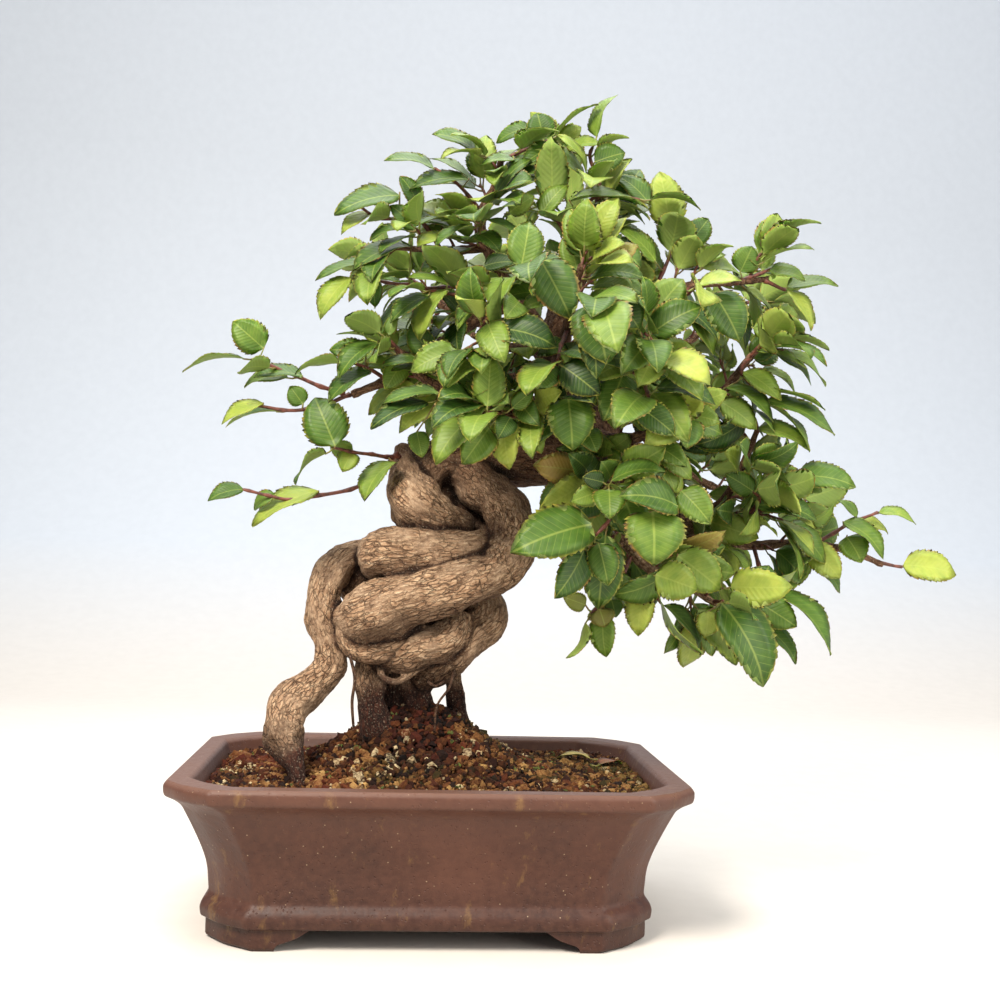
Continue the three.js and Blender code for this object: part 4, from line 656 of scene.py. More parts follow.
# Several tubes as one: their points, and their faces moved on to match, with a material index.
def joinTubes(tubes, finish=0, start=0):
    faceSets = []
    for points, quads, ends in tubes:
        faceSets += [(quads + start, finish), (ends + start, finish)]
        start += len(points)
    return np.vstack([tube[0] for tube in tubes]), faceSets


leafShape = {
    "widthShare": 0.64, "arch": 0.09, "fold": 0.22, "halfThick": 0.45, "stalkDepth": 1.8,
    "stalkLength": 6.0, "stalkHalfWidth": 0.9, "ridgePlace": 0.42, "gap": 0.3,
    "edge": [(0.06, 0.6), (0.3, 0.98), (0.38, 0.8), (0.63, 0.8), (0.7, 0.54)],
}
# How a leaf that stands by rule is held, and the bends and turns that are tried to clear the others.
ruled = {
    "first": 0.3, "lean": 0.9, "leanAtTip": 0.25, "leanSpread": 0.5, "outward": 0.35, "hang": 0.2,
    "hangSpread": 0.4, "droop": 0.12, "shortest": 0.95, "lengthSpread": 0.4,
    "facingOut": 0.9, "facingUp": 0.45, "facingSpread": 0.8, "firstIndex": 50,
    "bends": [0, 0.16, -0.16, 0.32, -0.32, 0.5, -0.5, 0.7, -0.7],
    "ruledBends": [0, 0.2, -0.2, 0.4, -0.4],
    "turns": [0, 0.6, -0.6, 1.2, -1.2, 1.8, -1.8],
}
crownCentre = np.array([85.0, 5, 285])
up = np.array([0, 0, 1.0])
front = np.array([0, -1.0, 0])
purposes = {"lean": 1, "hang": 2, "length": 3, "facing": 4, "spurTurn": 9, "spurLength": 10, "leafSize": 11,
            "youthAndLight": 20, "dryness": 21, "curl": 22}


# A number from 0 to 1, hashed, that is always the same for the same leaf and purpose.
def draw(shoot, leaf, purpose):
    word = 0xffffffff
    h = (shoot * 374761393 + leaf * 668265263 + purposes[purpose] * 224682251) & word
    h = (h ^ h >> 13) * 1274126177 & word
    h = (h ^ h >> 16) * 265443577 & word
    return (h ^ h >> 15) / 4294967296


# The blade and stalk as the model has them, for testing what crosses: points and triangles.
def coarseLeaf(leaf, halfThick):
    shape = leafShape
    along = unit(leaf["tip"] - leaf["base"])
    side = unit(np.cross(leaf["facing"], along))
    outward = unit(np.cross(along, side))
    length = lengthOf(leaf["tip"] - leaf["base"])
    half = leaf["width"] / 2

    def place(share, across, lift):
        arch = shape["arch"] * length * 4 * share * (1 - share)
        return leaf["base"] + along * share * length + side * across + outward * (lift + arch)

    left = [place(t, half * w, shape["fold"] * half * w) for t, w in shape["edge"]]
    right = [place(t, -half * w, shape["fold"] * half * w) for t, w in shape["edge"]][::-1]
    rim = [leaf["root"], place(0, shape["stalkHalfWidth"], 0), *left, place(1, 0, 0), *right,
           place(0, -shape["stalkHalfWidth"], 0)]
    n = len(rim)
    for h in (halfThick, -halfThick):
        rim += [place(0, 0, h * shape["stalkDepth"]), place(shape["ridgePlace"], 0, h)]
    faces = []
    for stalk in (n, n + 2):
        blade = stalk + 1
        faces += [(stalk, 1, 0), (stalk, 0, n - 1), (stalk, 2, 1), (stalk, n - 1, n - 2), (stalk, blade, 2),
                  (stalk, n - 2, blade)] + [(blade, k + 1, k) for k in range(2, n - 2)]
    return np.array(rim), faces


# The place on a path of straight steps that is nearest to a target.
def nearestOn(path, target):
    path = np.asarray(path, float)
    a, b = path[:-1], path[1:]
    t = np.clip(((target - a) * (b - a)).sum(1) / ((b - a) ** 2).sum(1), 0, 1)
    places = a + (b - a) * t[:, None]
    return places[np.argmin(lengthOf(places - target))]


# A leaf placed as listed: it faces the viewer, tilted up until its width shows as given.
def ownLeaf(twig, own):
    base, tip, seen = np.array(own[:3], float), np.array(own[3:6], float), own[6]
    along = unit(tip - base)
    width = max(leafShape["widthShare"] * lengthOf(tip - base), seen)
    share = min(1, seen / width)
    level = unit(front - along * front.dot(along))
    raised = unit(np.cross(level, along))
    raised = -raised if raised[2] < 0 else raised
    facing = level * share + raised * math.sqrt(1 - share * share)
    return {"root": nearestOn(twig, base), "base": base, "tip": tip, "facing": facing, "width": width}


# A vector turned about an axis by Rodrigues' formula.
def turnAbout(v, axis, angle):
    turned = v * math.cos(angle) + np.cross(axis, v) * math.sin(angle)
    return turned + axis * axis.dot(v) * (1 - math.cos(angle))


# A leaf that stands on the shoot by rule, left and right in turn, facing up and out.
def ruleLeaf(twig, size, fill, number, index, turn):
    share = ruled["first"] + (1 - ruled["first"]) * (index + 1) / fill
    root, before, after = splinePoints(twig, [share, share - 1e-4, min(share, 1 - 1e-4) + 1e-4])
    forward = unit(after - before)
    outward = unit(root - crownCentre)
    side = unit(np.cross(forward, outward)) * (1 if index % 2 else -1)
    side = turnAbout(side, forward, turn)
    lean = ruled["leanAtTip"] if index == fill - 1 else ruled["lean"]
    lean += (draw(number, index, "lean") - 0.5) * ruled["leanSpread"]
    hang = ruled["hang"] + ruled["hangSpread"] * draw(number, index, "hang")
    ahead = unit(forward + side * lean + outward * ruled["outward"] - up * hang)
    length = size * (ruled["shortest"] + ruled["lengthSpread"] * draw(number, index, "length"))
    base = root + ahead * leafShape["stalkLength"]
    tip = base + ahead * length - up * ruled["droop"] * length
    facing = unit(outward * ruled["facingOut"] + up * ruled["facingUp"]
                  + side * (draw(number, index, "facing") - 0.5) * ruled["facingSpread"])
    width = leafShape["widthShare"] * length
    return {"root": root, "base": base, "tip": tip, "facing": facing, "width": width}


# The same leaf with its tip bent up or down by shares of its length.
def bentWays(leaf, shares):
    length = lengthOf(leaf["tip"] - leaf["base"])
    return [{**leaf, "tip": leaf["tip"] + leaf["facing"] * share * length} for share in shares]


# The solids that stand in the crown so far, to test a new one against.
class Crowd:

    def __init__(self):
        self.trees, self.owners = [], []
        self.low, self.high = np.zeros((0, 3)), np.zeros((0, 3))

    def add(self, points, faces, owner=None):
        self.trees.append(BVHTree.FromPolygons(points.tolist(), [list(map(int, f)) for f in faces]))
        self.owners.append(owner)
        self.low = np.vstack([self.low, points.min(0)])
        self.high = np.vstack([self.high, points.max(0)])

    def addTube(self, tube, owner=None):
        points, quads, ends = tube
        self.add(points, np.vstack([quads[:, [0, 1, 2]], quads[:, [0, 2, 3]], ends]), owner)

    def meets(self, points, faces, skip):
        near = ((self.low <= points.max(0)) & (self.high >= points.min(0))).all(1).nonzero()[0]
        tree = BVHTree.FromPolygons(points.tolist(), faces)
        return any(tree.overlap(self.trees[i]) for i in near if self.owners[i] != skip)


# One real blade. Teeth are a tall saw, t * 9 % 1, and a low one, t * 18 % 1, times their heights.
blade = {
    "teeth": 9, "toothPlaces": (0.03, 0.46, 0.54, 0.95), "tallSaw": 0.09, "lowSaw": 0.04, "sawDrop": 0.05,
    "edgePower": 0.92, "rows": (0, 0.15, 0.31, 0.47, 0.63, 0.8), "sideRow": 0.55, "halfThick": 0.16,
    "archLuck": (0.7, 0.6), "foldLuck": (0.7, 0.7), "edgeWave": 0.02, "waves": (9, 20, 2), "tipCurl": 0.06,
    "stalkRadius": 0.55, "stalkSag": 0.6, "stalkShares": (0.0, 0.5, 1.15), "stalkTaper": (1.3, 0.9, 0.8),
    "outlineAt": [0, 0.04, 0.1, 0.2, 0.33, 0.45, 0.6, 0.75, 0.87, 0.95, 1],
    "outline": [0.08, 0.46, 0.72, 0.91, 0.99, 1, 0.92, 0.72, 0.46, 0.22, 0],
}


# One blade as shares: t along it, x across it and the layer of its skin, for the midrib, the middle of
# each half and the toothed edge; and its faces by their number of corners, each with its layer.
def leafTemplate():
    teeth, rows = blade["teeth"], blade["rows"]
    t = ((np.arange(teeth)[:, None] + blade["toothPlaces"]) / teeth).ravel()
    saw = blade["tallSaw"] * (t * teeth % 1) + blade["lowSaw"] * (t * 2 * teeth % 1) - blade["sawDrop"]
    saw[:2] = 0
    edge = np.stack([t ** blade["edgePower"], 1 + saw, 0 * t], 1)
    points = [(r, 0, layer) for layer in (1, -1) for r in rows]
    points += [(r, blade["sideRow"] * hand, layer) for layer in (1, -1) for hand in (1, -1) for r in rows[1:]]
    firstRim = len(points)
    points = np.vstack([points, edge, edge * [1, -1, 1], (1, 0, 0)])
    tip, perRow, count = len(points) - 1, len(t) // len(rows), len(rows)
    faces = {3: [], 4: [], perRow + 2: [], perRow + 3: []}
    for layer in range(2):
        mid = layer * count
        for hand in range(2):
            half = 2 * count + (2 * layer + hand) * (count - 1) - 1
            rim = firstRim + hand * len(t)
            for j in range(count):
                edges = [perRow * (j + 1) - e for e in range(perRow + 1)]
                edges = [rim + e if e < len(t) else tip for e in edges]
                if j == 0:
                    shapes = [[mid, mid + 1, half + 1], [mid, half + 1] + edges]
                elif j == count - 1:
                    shapes = [[mid + j, tip, half + j], [half + j] + edges]
                else:
                    shapes = [[mid + j, mid + j + 1, half + j + 1, half + j],
                              [half + j, half + j + 1] + edges]
                for f in shapes:
                    faces[len(f)].append((f[::-1] if layer != hand else f, layer))
    faces[4].append(([firstRim, 0, firstRim + len(t), count], 1))
    return points, {size: (np.array([f for f, _ in found]), np.array([layer for _, layer in found]))
                    for size, found in faces.items()}


template, templateFaces = leafTemplate()


# One value of every leaf, as an array.
def gather(leaves, key):
    return np.array([leaf[key] for leaf in leaves])


# Every blade at once. Its height is arch 4t(1 - t) + fold |x| - curl t^3 + a low wave at the edge.
def bladePoints(leaves):
    base = gather(leaves, "base")
    reach = gather(leaves, "tip") - base
    length = lengthOf(reach)[:, None]
    along = unit(reach)
    side = unit(np.cross(gather(leaves, "facing"), along))
    outward = unit(np.cross(along, side))
    half, luck = gather(leaves, "width")[:, None] / 2, gather(leaves, "luck")[:, None]
    t, x, layer = template.T
    wide = np.interp(t, blade["outlineAt"], blade["outline"])
    across = x * wide * half
    arch, fold, wave = (blade[key] for key in ("archLuck", "foldLuck", "waves"))
    height = leafShape["arch"] * length * 4 * t * (1 - t) * (arch[0] + arch[1] * luck)
    height = height + leafShape["fold"] * np.abs(across) * (fold[0] + fold[1] * luck)
    height = height - blade["tipCurl"] * length * t ** 3
    wave = np.sin(wave[0] * t + wave[1] * luck + wave[2] * np.sign(x))
    height = height + blade["edgeWave"] * length * np.abs(x) * wave + layer * blade["halfThick"]
    points = (base[:, None] + along[:, None] * (t * length)[..., None]
              + side[:, None] * across[..., None] + outward[:, None] * height[..., None])
    place = np.broadcast_to(np.stack([x * wide, t, np.abs(x)], 1), points.shape)
    return points, place


# Every stalk at once, as three four-sided rings from the shoot to the blade, sagging a little.
def stalkPoints(leaves):
    root, base = gather(leaves, "root"), gather(leaves, "base")
    along = unit(base - root)
    side = unit(np.cross(along, up))
    over = np.cross(side, along)
    share = np.array(blade["stalkShares"])
    middle = root[:, None] + (base - root)[:, None] * share[:, None]
    middle = middle - up * (4 * share * np.clip(1 - share, 0, 1) * blade["stalkSag"])[:, None]
    angle = np.arange(4) * math.pi / 2
    ring = side[:, None] * np.cos(angle)[:, None] + over[:, None] * np.sin(angle)[:, None]
    radius = blade["stalkRadius"] * np.array(blade["stalkTaper"])
    return middle[:, :, None] + ring[:, None] * radius[:, None, None]


# The same faces for each of several copies of a shape of some size, from a first point on.
def spreadFaces(faces, copies, size, start=0):
    return (faces[None] + (np.arange(copies) * size + start)[:, None, None]).reshape(-1, faces.shape[1])


twigShape = {"sides": 5, "step": 3.2, "kink": 0.9, "budEvery": 4, "bud": 0.35, "blunt": 1.5,
             "radii": (1.3, 0.8)}


# A young shoot: a tube that swells at each bud and bends a little from bud to bud.
def twigTube(path, radii):
    shape = twigShape
    path = np.asarray(path, float)
    count = max(4, int(splineLength(path) / shape["step"]))
    shares, step = np.linspace(0, 1, count + 1), np.arange(count + 1)
    places = splinePoints(path, shares)
    frames = framesAlong(places)
    kink = (np.abs((step / float(shape["budEvery"])) % 2 - 1) - 0.5) * shape["kink"]
    places = places + frames[0] * kink[:, None] * np.minimum(1, 4 * shares * (1 - shares))[:, None]
    radius = np.interp(shares, [0, 1], radii) * (1 + shape["bud"] * (step % shape["budEvery"] == 0))
    rings = ringsRound(places, frames, shape["sides"], radius[:, None])
    end = places[-1] + unit(places[-1] - places[-2]) * radii[1] * shape["blunt"]
    return closeRings(rings, places[0], end)


# Leaves with their stalks and shoots as one piece; stalks and shoots are marked by a place below 0.
def buildSpray(name, leaves, twigs, nodes):
    n, start = len(leaves), len(leaves) * len(template)
    blades, where = bladePoints(leaves)
    stalks = stalkPoints(leaves).reshape(-1, 3)
    size = len(stalks) // n
    tints = gather(leaves, "tint")
    points = [blades.reshape(-1, 3), stalks]
    place = [where.reshape(-1, 3), np.tile([0, -0.1, 0], (len(stalks), 1))]
    tint = [np.repeat(tints, len(template), axis=0), np.repeat(tints, size, axis=0)]
    faceSets = [(spreadFaces(faces[layers == layer], n, len(template)), layer)
                for faces, layers in templateFaces.values() for layer in (0, 1) if (layers == layer).any()]
    k = np.arange(4)
    after = (k + 1) % 4
    skin = np.vstack([np.stack([r + k, r + after, r + 4 + after, r + 4 + k], 1) for r in (0, 4)]
                     + [[[3, 2, 1, 0]], [[8, 9, 10, 11]]])
    faceSets.append((spreadFaces(skin, n, size, start), 2))
    if twigs:
        tubes, shootFaces = joinTubes([twigTube(*twig) for twig in twigs], 3, start + n * size)
        faceSets += shootFaces
        points.append(tubes)
        place.append(np.tile([0, -0.2, 0], (len(tubes), 1)))
        tint.append(np.tile([0.5, 0.5, 0], (len(tubes), 1)))
    buildMesh(name, np.vstack(points), faceSets, [leafFace, leafUnderside, leafStalk, youngTwig], nodes,
              {"leafPlace": np.vstack(place), "leafTint": np.vstack(tint)})


# The trunk and the stout part of each limb: members joined under one skin of small squares, then
# ridged, lumped and flaked along their length.
barkShape = {
    "sides": 24, "step": 2.4, "square": 1.3, "smoothing": 3, "slimRadius": 3.2,
    "furrow": (0.6, 4.6, 15), "lump": (1.7, 11, 13), "flake": (0.4, 2.2, 5), # depth, round, along
    "fullRadius": 9, "leastRelief": 0.18, "hollowRounds": 14, "hollowGain": 1.9, "hollowRelief": 0.3,
    "dampBelow": (112, 146), "rootDampBelow": (86, 112), "rootSide": -46, "warmAbove": (222, 258),
    # Undersides are darkened as painted shade, by how far they face down.
    "undersideShade": (0.1, 0.95), "slimSides": 9, "slimStep": 2.8, "knot": 0.12, "knotSize": 3.1,
    "budKnot": 0.2, "rootletSides": 6, "rootletStep": 2.5,
    "hollowMiddle": (19, 0, 213), "hollowReach": (9, 12, 11), # the shaded hollow beside the upper coil
}


# Spreads each point half-way towards the middle of its neighbours, several times.
def relax(points, edges, rounds):
    a, b = edges.T
    count = np.bincount(edges.ravel(), minlength=len(points))[:, None]
    for _ in range(rounds):
        total = np.stack([np.bincount(a, p[b], len(p)) + np.bincount(b, p[a], len(p)) for p in points.T], 1)
        points = (points + total / count) / 2
    return points


# Each point's normal, from the cross products of its quads' diagonals.
def pointNormals(points, quads):
    a, b, c, d = (points[quads[:, i]] for i in range(4))
    cross = np.cross(c - a, d - b)
    return unit(np.stack([np.bincount(quads.ravel(), np.repeat(n, 4), len(points)) for n in cross.T], 1))


# The outer skin of closed tubes that run into each other, as points, quads and edges.
def skinOver(tubes, square):
    points, faceSets = joinTubes(tubes)
    mesh = bpy.data.meshes.new("members")
    mesh.from_pydata(points.tolist(), [], [f for faces, _ in faceSets for f in faces.tolist()])
    carrier = show("members", mesh)
    modifier = carrier.modifiers.new("skin", "REMESH")
    modifier.mode = "VOXEL"
    modifier.voxel_size = square
    made = carrier.evaluated_get(bpy.context.evaluated_depsgraph_get()).to_mesh()
    found = np.empty(len(made.vertices) * 3, np.float32)
    made.vertices.foreach_get("co", found)
    quads = np.empty(len(made.polygons) * 4, np.int32)
    made.loops.foreach_get("vertex_index", quads)
    edges = np.empty(len(made.edges) * 2, np.int32)
    made.edges.foreach_get("vertices", edges)
    bpy.data.objects.remove(carrier)
    bpy.data.meshes.remove(mesh)
    return found.reshape(-1, 3).astype(float), quads.reshape(-1, 4), edges.reshape(-1, 2)


# Places every 2 mm along each member, with radius, frames, distance along and the member's number.
def memberSamples(members):
    rows = []
    for number, path in enumerate(members):
        path = np.asarray(path, float)
        length = splineLength(path)
        shares = np.linspace(0, 1, max(3, int(length / 2)))
        along = splinePoints(path, shares)
        far = (shares * length)[:, None]
        rows.append(np.hstack([along, *framesAlong(along[:, :3]), far, np.full((len(shares), 1), number)]))
    return np.vstack(rows)


# Where each point stands on the member nearest to it: cos and sin of its angle times the radius,
# its distance along, and that radius. Members are set apart, so that no two have the same bark.
def unroll(points, samples):
    nearest = np.concatenate([
        np.argmin(lengthOf(block[:, None] - samples[None, :, :3]) - samples[None, :, 3], axis=1)
        for block in np.array_split(points, max(1, len(points) // 1500))])
    s = samples[nearest]
    radius, first, second, far, number = s[:, 3], s[:, 4:7], s[:, 7:10], s[:, 10], s[:, 11:12]
    offset = points - s[:, :3]
    a, b = (offset * first).sum(1), (offset * second).sum(1)
    reach = np.maximum(np.hypot(a, b), 1e-6)
    along = far + (offset * np.cross(first, second)).sum(1)
    return np.stack([a / reach * radius, b / reach * radius, along], 1) + number * 57.0, radius


# How far the bark stands out: sharp ridges 0.5 - 1.6|noise|, round lumps and fine flakes, each noise
# stretched along the member.
def barkRelief(space, radius):
    total = np.zeros(len(space))
    for seed, (key, ridged) in enumerate([("furrow", True), ("lump", False), ("flake", False)]):
        depth, around, along = barkShape[key]
        scaled = space / np.array([around, around, along])
        value = latticeNoise(scaled, seed + 3) + 0.5 * latticeNoise(scaled * 2.1, seed + 30)
        total += depth * (0.5 - np.abs(value) * 1.6 if ridged else value)
    return total * np.clip(radius / barkShape["fullRadius"], barkShape["leastRelief"], 1)


# The tones of bark: damp near the soil, warm high up, and painted shade on undersides, in hollows and
# creases, with a painted shadow in the hollow beside the upper coil.
def barkTones(points, hollow, below=0.0):
    shape = barkShape
    x, z = points[:, 0], points[:, 2]
    patches = 9 * latticeNoise(points / 13, 9) + 4 * latticeNoise(points / 5, 10)
    onRoot = x + 6 * (z > 125) < shape["rootSide"]
    damp = 1 - np.where(onRoot, smoothStep(*shape["rootDampBelow"], z + patches),
                        smoothStep(*shape["dampBelow"], z + patches))
    # Painted shade on undersides, laid on as damp.
    damp = np.maximum(damp, below)
    warm = 0.75 * smoothStep(*shape["warmAbove"], z + x * 0.25 + patches)
    # Painted shade: creases and dips take the darker ruddy tones.
    warm = np.maximum(warm, 0.8 * np.clip(hollow * 1.5, 0, 1))
    # Painted shadow in the hollow beside the upper coil, laid on as damp and furrow.
    shade = np.exp(-(((points - shape["hollowMiddle"]) / shape["hollowReach"]) ** 2).sum(1))
    # Painted shade: the furrow tone darkens creases and dips.
    return np.stack([np.maximum(damp, 0.9 * shade), warm, np.clip(np.maximum(hollow, 0.85 * shade), 0, 1)], 1)


# A piece of bark that stands for the tree.
def buildBark(name, points, faceSets, space, tones):
    buildMesh(name, points, faceSets, [bark], ["tree"],
              {"barkSpace": space * 0.001, "barkTone": tones})


stoutMembers, slimMembers = list(trunk.values()), []
for path in limbs.values():
    along = splinePoints(path, np.linspace(0, 1, 41))
    stout = int((along[:, 3] > barkShape["slimRadius"]).sum())
    if stout > 2:
        stoutMembers.append(along[:stout])
    slimMembers.append(along[max(0, stout - 3):])
tubes = [closeRings(*memberRings(p, barkShape["sides"], barkShape["step"], memberShape["fluteDepth"]))
         for p in stoutMembers]
points, quads, edges = skinOver(tubes, barkShape["square"])
points = relax(points, edges, barkShape["smoothing"])
space, radius = unroll(points, memberSamples(stoutMembers))
relief = barkRelief(space, radius)
normals = pointNormals(points, quads)
# How far each point lies in a crease or dip; the tones darken it there as painted shade.
inward = ((relax(points, edges, barkShape["hollowRounds"]) - points) * normals).sum(1)
hollow = inward * barkShape["hollowGain"] - relief * barkShape["hollowRelief"]
# Painted shade on the undersides.
below = 0.5 * smoothStep(*barkShape["undersideShade"], -normals[:, 2])
points = points + normals * relief[:, None]
buildBark("trunk", points, [(quads, 0)], space, barkTones(points, hollow, below))
report("trunk with %d squares" % len(quads))

# The slim ends of the limbs: tubes that thicken a little at old buds.
tubes, spaces = [], []
for number, path in enumerate(slimMembers):
    rings, first, last = memberRings(path, barkShape["slimSides"], barkShape["slimStep"])
    noise = latticeNoise(rings.reshape(-1, 3) / barkShape["knotSize"], 40).reshape(rings.shape[:2] + (1,))
    knot = 1 + barkShape["knot"] * noise
    knot = knot + barkShape["budKnot"] * (np.arange(len(rings)) % 5 == 0)[:, None, None]
    middle = rings.mean(1, keepdims=True)
    tubes.append(closeRings(middle + (rings - middle) * knot, first, last))
    spaces.append(unroll(tubes[-1][0], memberSamples([path]))[0] + number * 31.0)
points, faceSets = joinTubes(tubes)
buildBark("branches", points, faceSets, np.vstack(spaces), barkTones(points, np.full(len(points), 0.1)))

# Thin bare roots that hang from the coils to the soil.
rootlets = [
    [(-44, -34, 141, 0.9), (-41, -37, 129, 0.8), (-42, -36, 117, 0.8), (-41, -34, 104, 0.7)],
    [(-3, -27, 127, 0.8), (1, -29, 125, 0.7), (5, -25, 127, 0.6)],
    [(11, -20, 133, 0.8), (8, -28, 124, 0.7), (2, -31, 115, 0.6), (1, -30, 101, 0.6)],
]
tubes = [closeRings(*memberRings(path, barkShape["rootletSides"], barkShape["rootletStep"]))
         for path in rootlets]
points, faceSets = joinTubes(tubes)
buildBark("rootlets", points, faceSets, points, np.tile([0.7, 0.5, 0.2], (len(points), 1)))
report("branches and rootlets")

# Every spray of the model, leaf for leaf, with colours that follow its side of the crown: lighter young
# leaves on the left and top, painted light on the right, and painted shade in front and at the back.
sideYouthAndLight = {"left": 0.47, "top": 0.47, "right": 0.52, "front": 0.31, "back": 0.36}
# Painted light and shade: leaves far from the crown's middle are lighter, and those near it darker.
crownReach = {"size": (95, 75, 90), "middle": 0.9, "light": 0.3, "spread": 0.6, "between": (-0.6, 0.5)}
turnedLeaves = [ # leaves that have turned: near some place, with (young, dryness, autumn)
    ((76, -60, 308), (0.62, 0.2, 0.4)), ((100, -50, 346), (0.7, 0.6, 0.35)),
    ((43, -50, 240), (0.6, 0.3, 0.5)), ((68, -52, 172), (0.5, 0.4, 0.15)),
    ((84, -52, 168), (0.45, 0.5, 0.2)), ((130, -30, 215), (0.6, 0.1, 0.4)),
]
crowd = Crowd()


# The side's youth and painted light and shade, luck, and more the further a leaf is from the crown's
# middle: painted light on the outer leaves and painted shade on the inner ones.
def leafTint(side, number, index, tip):
    outward = float(lengthOf((tip - crownCentre) / crownReach["size"])) - crownReach["middle"]
    low, high = crownReach["between"]
    luck = crownReach["spread"] * (draw(number, index, "youthAndLight") - 0.5)
    youthAndLight = sideYouthAndLight[side] + luck + crownReach["light"] * min(max(outward, low), high)
    return [youthAndLight, draw(number, index, "dryness"), 0.0]


# Adds a leaf in the first of several ways that clears the crown, or none if all of them cross it.
def grow(leaves, ways, side, number, index):
    for leaf in ways:
        tested = {**leaf, "root": (leaf["root"] + leaf["base"]) / 2}
        if not crowd.meets(*coarseLeaf(tested, leafShape["halfThick"] + leafShape["gap"]), number):
            crowd.add(*coarseLeaf(leaf, leafShape["halfThick"]))
            leaves.append({**leaf, "luck": draw(number, index, "curl"),
                           "tint": leafTint(side, number, index, leaf["tip"])})
            return


for members, stout in ((trunk, True), (limbs, False)):
    for path in members.values():
        crowd.addTube(modelTube(path, stout))
sprays = [{"side": side, "size": size, "fill": fill, "twig": twig, "own": own, "leaves": []}
          for side, group in shoots.items() for size, fill, twig, own in group]
for number, spray in enumerate(sprays):
    twig = spray["twig"]
    path = [(*p, r) for p, r in zip(twig, np.linspace(*memberShape["twigRadii"], len(twig)))]
    crowd.addTube(closeRings(*memberRings(path, memberShape["twigSides"], memberShape["twigStep"])), number)
for number, spray in enumerate(sprays):
    for index, own in enumerate(spray["own"]):
        ways = bentWays(ownLeaf(spray["twig"], own), ruled["bends"])
        grow(spray["leaves"], ways, spray["side"], number, index)
for number, spray in enumerate(sprays):
    twig, size, fill = spray["twig"], spray["size"], spray["fill"]
    for index in range(fill):
        ways = [way for turn in ruled["turns"]
                for way in bentWays(ruleLeaf(twig, size, fill, number, index, turn), ruled["ruledBends"])]
        grow(spray["leaves"], ways, spray["side"], number, ruled["firstIndex"] + index)
report("%d leaves of the model placed" % sum(len(spray["leaves"]) for spray in sprays))

# Short spurs along the limbs carry the leaves of the inner crown, which turn a little to the light in
# front. Each limb is bare past its own share of its length, and near the trunk.
spurShape = {
    "every": 8.5, "from": 0.28, "length": (10, 18), "leaves": 5, "size": (18, 26), "toFront": 0.55,
    "turn": 2.4, "ahead": 0.6, "rise": 0.25, "arch": 1.5, "radii": (0.9, 0.6),
    "firstNumber": 200, "perLimb": 40,
    "bareFrom": {"rightFar": 0.5, "leftUpper": 0.62, "leftHigh": 0.8, "leftLow": 0.8, "topRight": 0.8,
                 "rightMain": 0.86, "rightRise": 0.85, "shoulder": 0.85}, "otherBareFrom": 0.92,
}


# Spurs at even steps along each limb, each turned on from the one before by 2.4 and luck.
def makeSpurs():
    s = spurShape
    spurs = []
    for limb, (name, path) in enumerate(limbs.items()):
        bareFrom = s["bareFrom"].get(name, s["otherBareFrom"])
        count = int(splineLength(path) * (bareFrom - s["from"]) / s["every"])
        shares = np.linspace(s["from"], bareFrom, count)
        places, later = splinePoints(path, shares)[:, :3], splinePoints(path, shares + 0.01)[:, :3]
        for i in range(count):
            number = s["firstNumber"] + limb * s["perLimb"] + i
            root, forward = places[i], unit(later[i] - places[i] + 1e-6)
            side = unit(np.cross(forward, up + 0.01))
            turned = turnAbout(side, forward, s["turn"] * i + 6.28 * draw(number, 0, "spurTurn"))
            low, high = s["length"]
            reach = low + (high - low) * draw(number, 0, "spurLength")
            tip = root + unit(turned + forward * s["ahead"] + up * s["rise"]) * reach
            spurs.append((number, [tuple(root), tuple((root + tip) / 2 + up * s["arch"]), tuple(tip)]))
    return spurs


# The group of inner leaves that a place belongs to.
def sideOf(place):
    x, y, z = place
    if z > 375:
        return "top"
    if x < 20:
        return "left"
    return "back" if y > 25 else "right"


inner = {side: ([], []) for side in ("left", "top", "right", "back")}
for number, twig in makeSpurs():
    low, high = spurShape["size"]
    size = low + (high - low) * draw(number, 0, "leafSize")
    side = sideOf(twig[-1])
    leaves, twigs = inner[side]
    before = len(leaves)
    for index in range(spurShape["leaves"]):
        ways = [ruleLeaf(twig, size, spurShape["leaves"], number, index, turn) for turn in ruled["turns"]]
        ways = [{**way, "facing": unit(way["facing"] + front * spurShape["toFront"])} for way in ways]
        ways = [bent for way in ways for bent in bentWays(way, ruled["ruledBends"])]
        grow(leaves, ways, side, number, index)
    if len(leaves) > before:
        twigs.append((twig, spurShape["radii"]))
everyLeaf = [leaf for spray in sprays for leaf in spray["leaves"]]
everyLeaf += [leaf for leaves, _ in inner.values() for leaf in leaves]
middles = np.array([(leaf["base"] + leaf["tip"]) / 2 for leaf in everyLeaf])
behind = 99.0 * (middles[:, 1] > -35) # so that only leaves in front turn
for place, tint in turnedLeaves:
    nearest = np.argmin(lengthOf((middles - place) * [1, 0.3, 1] + behind[:, None]))
    everyLeaf[int(nearest)]["tint"] = list(tint)
counts = {}
for spray in sprays:
    side = spray["side"]
    counts[side] = counts.get(side, 0) + 1
    node = "spray_%s_%d" % (side, counts[side])
    slot = "young_leaf" if side in ("left", "top") else "leaf"
    buildSpray("leafy_" + node, spray["leaves"], [(spray["twig"], twigShape["radii"])], [node])
for side, (leaves, twigs) in inner.items():
    buildSpray("inner_leaves_" + side, leaves, twigs, [])
report("%d inner leaves" % sum(len(leaves) for leaves, _ in inner.values()))

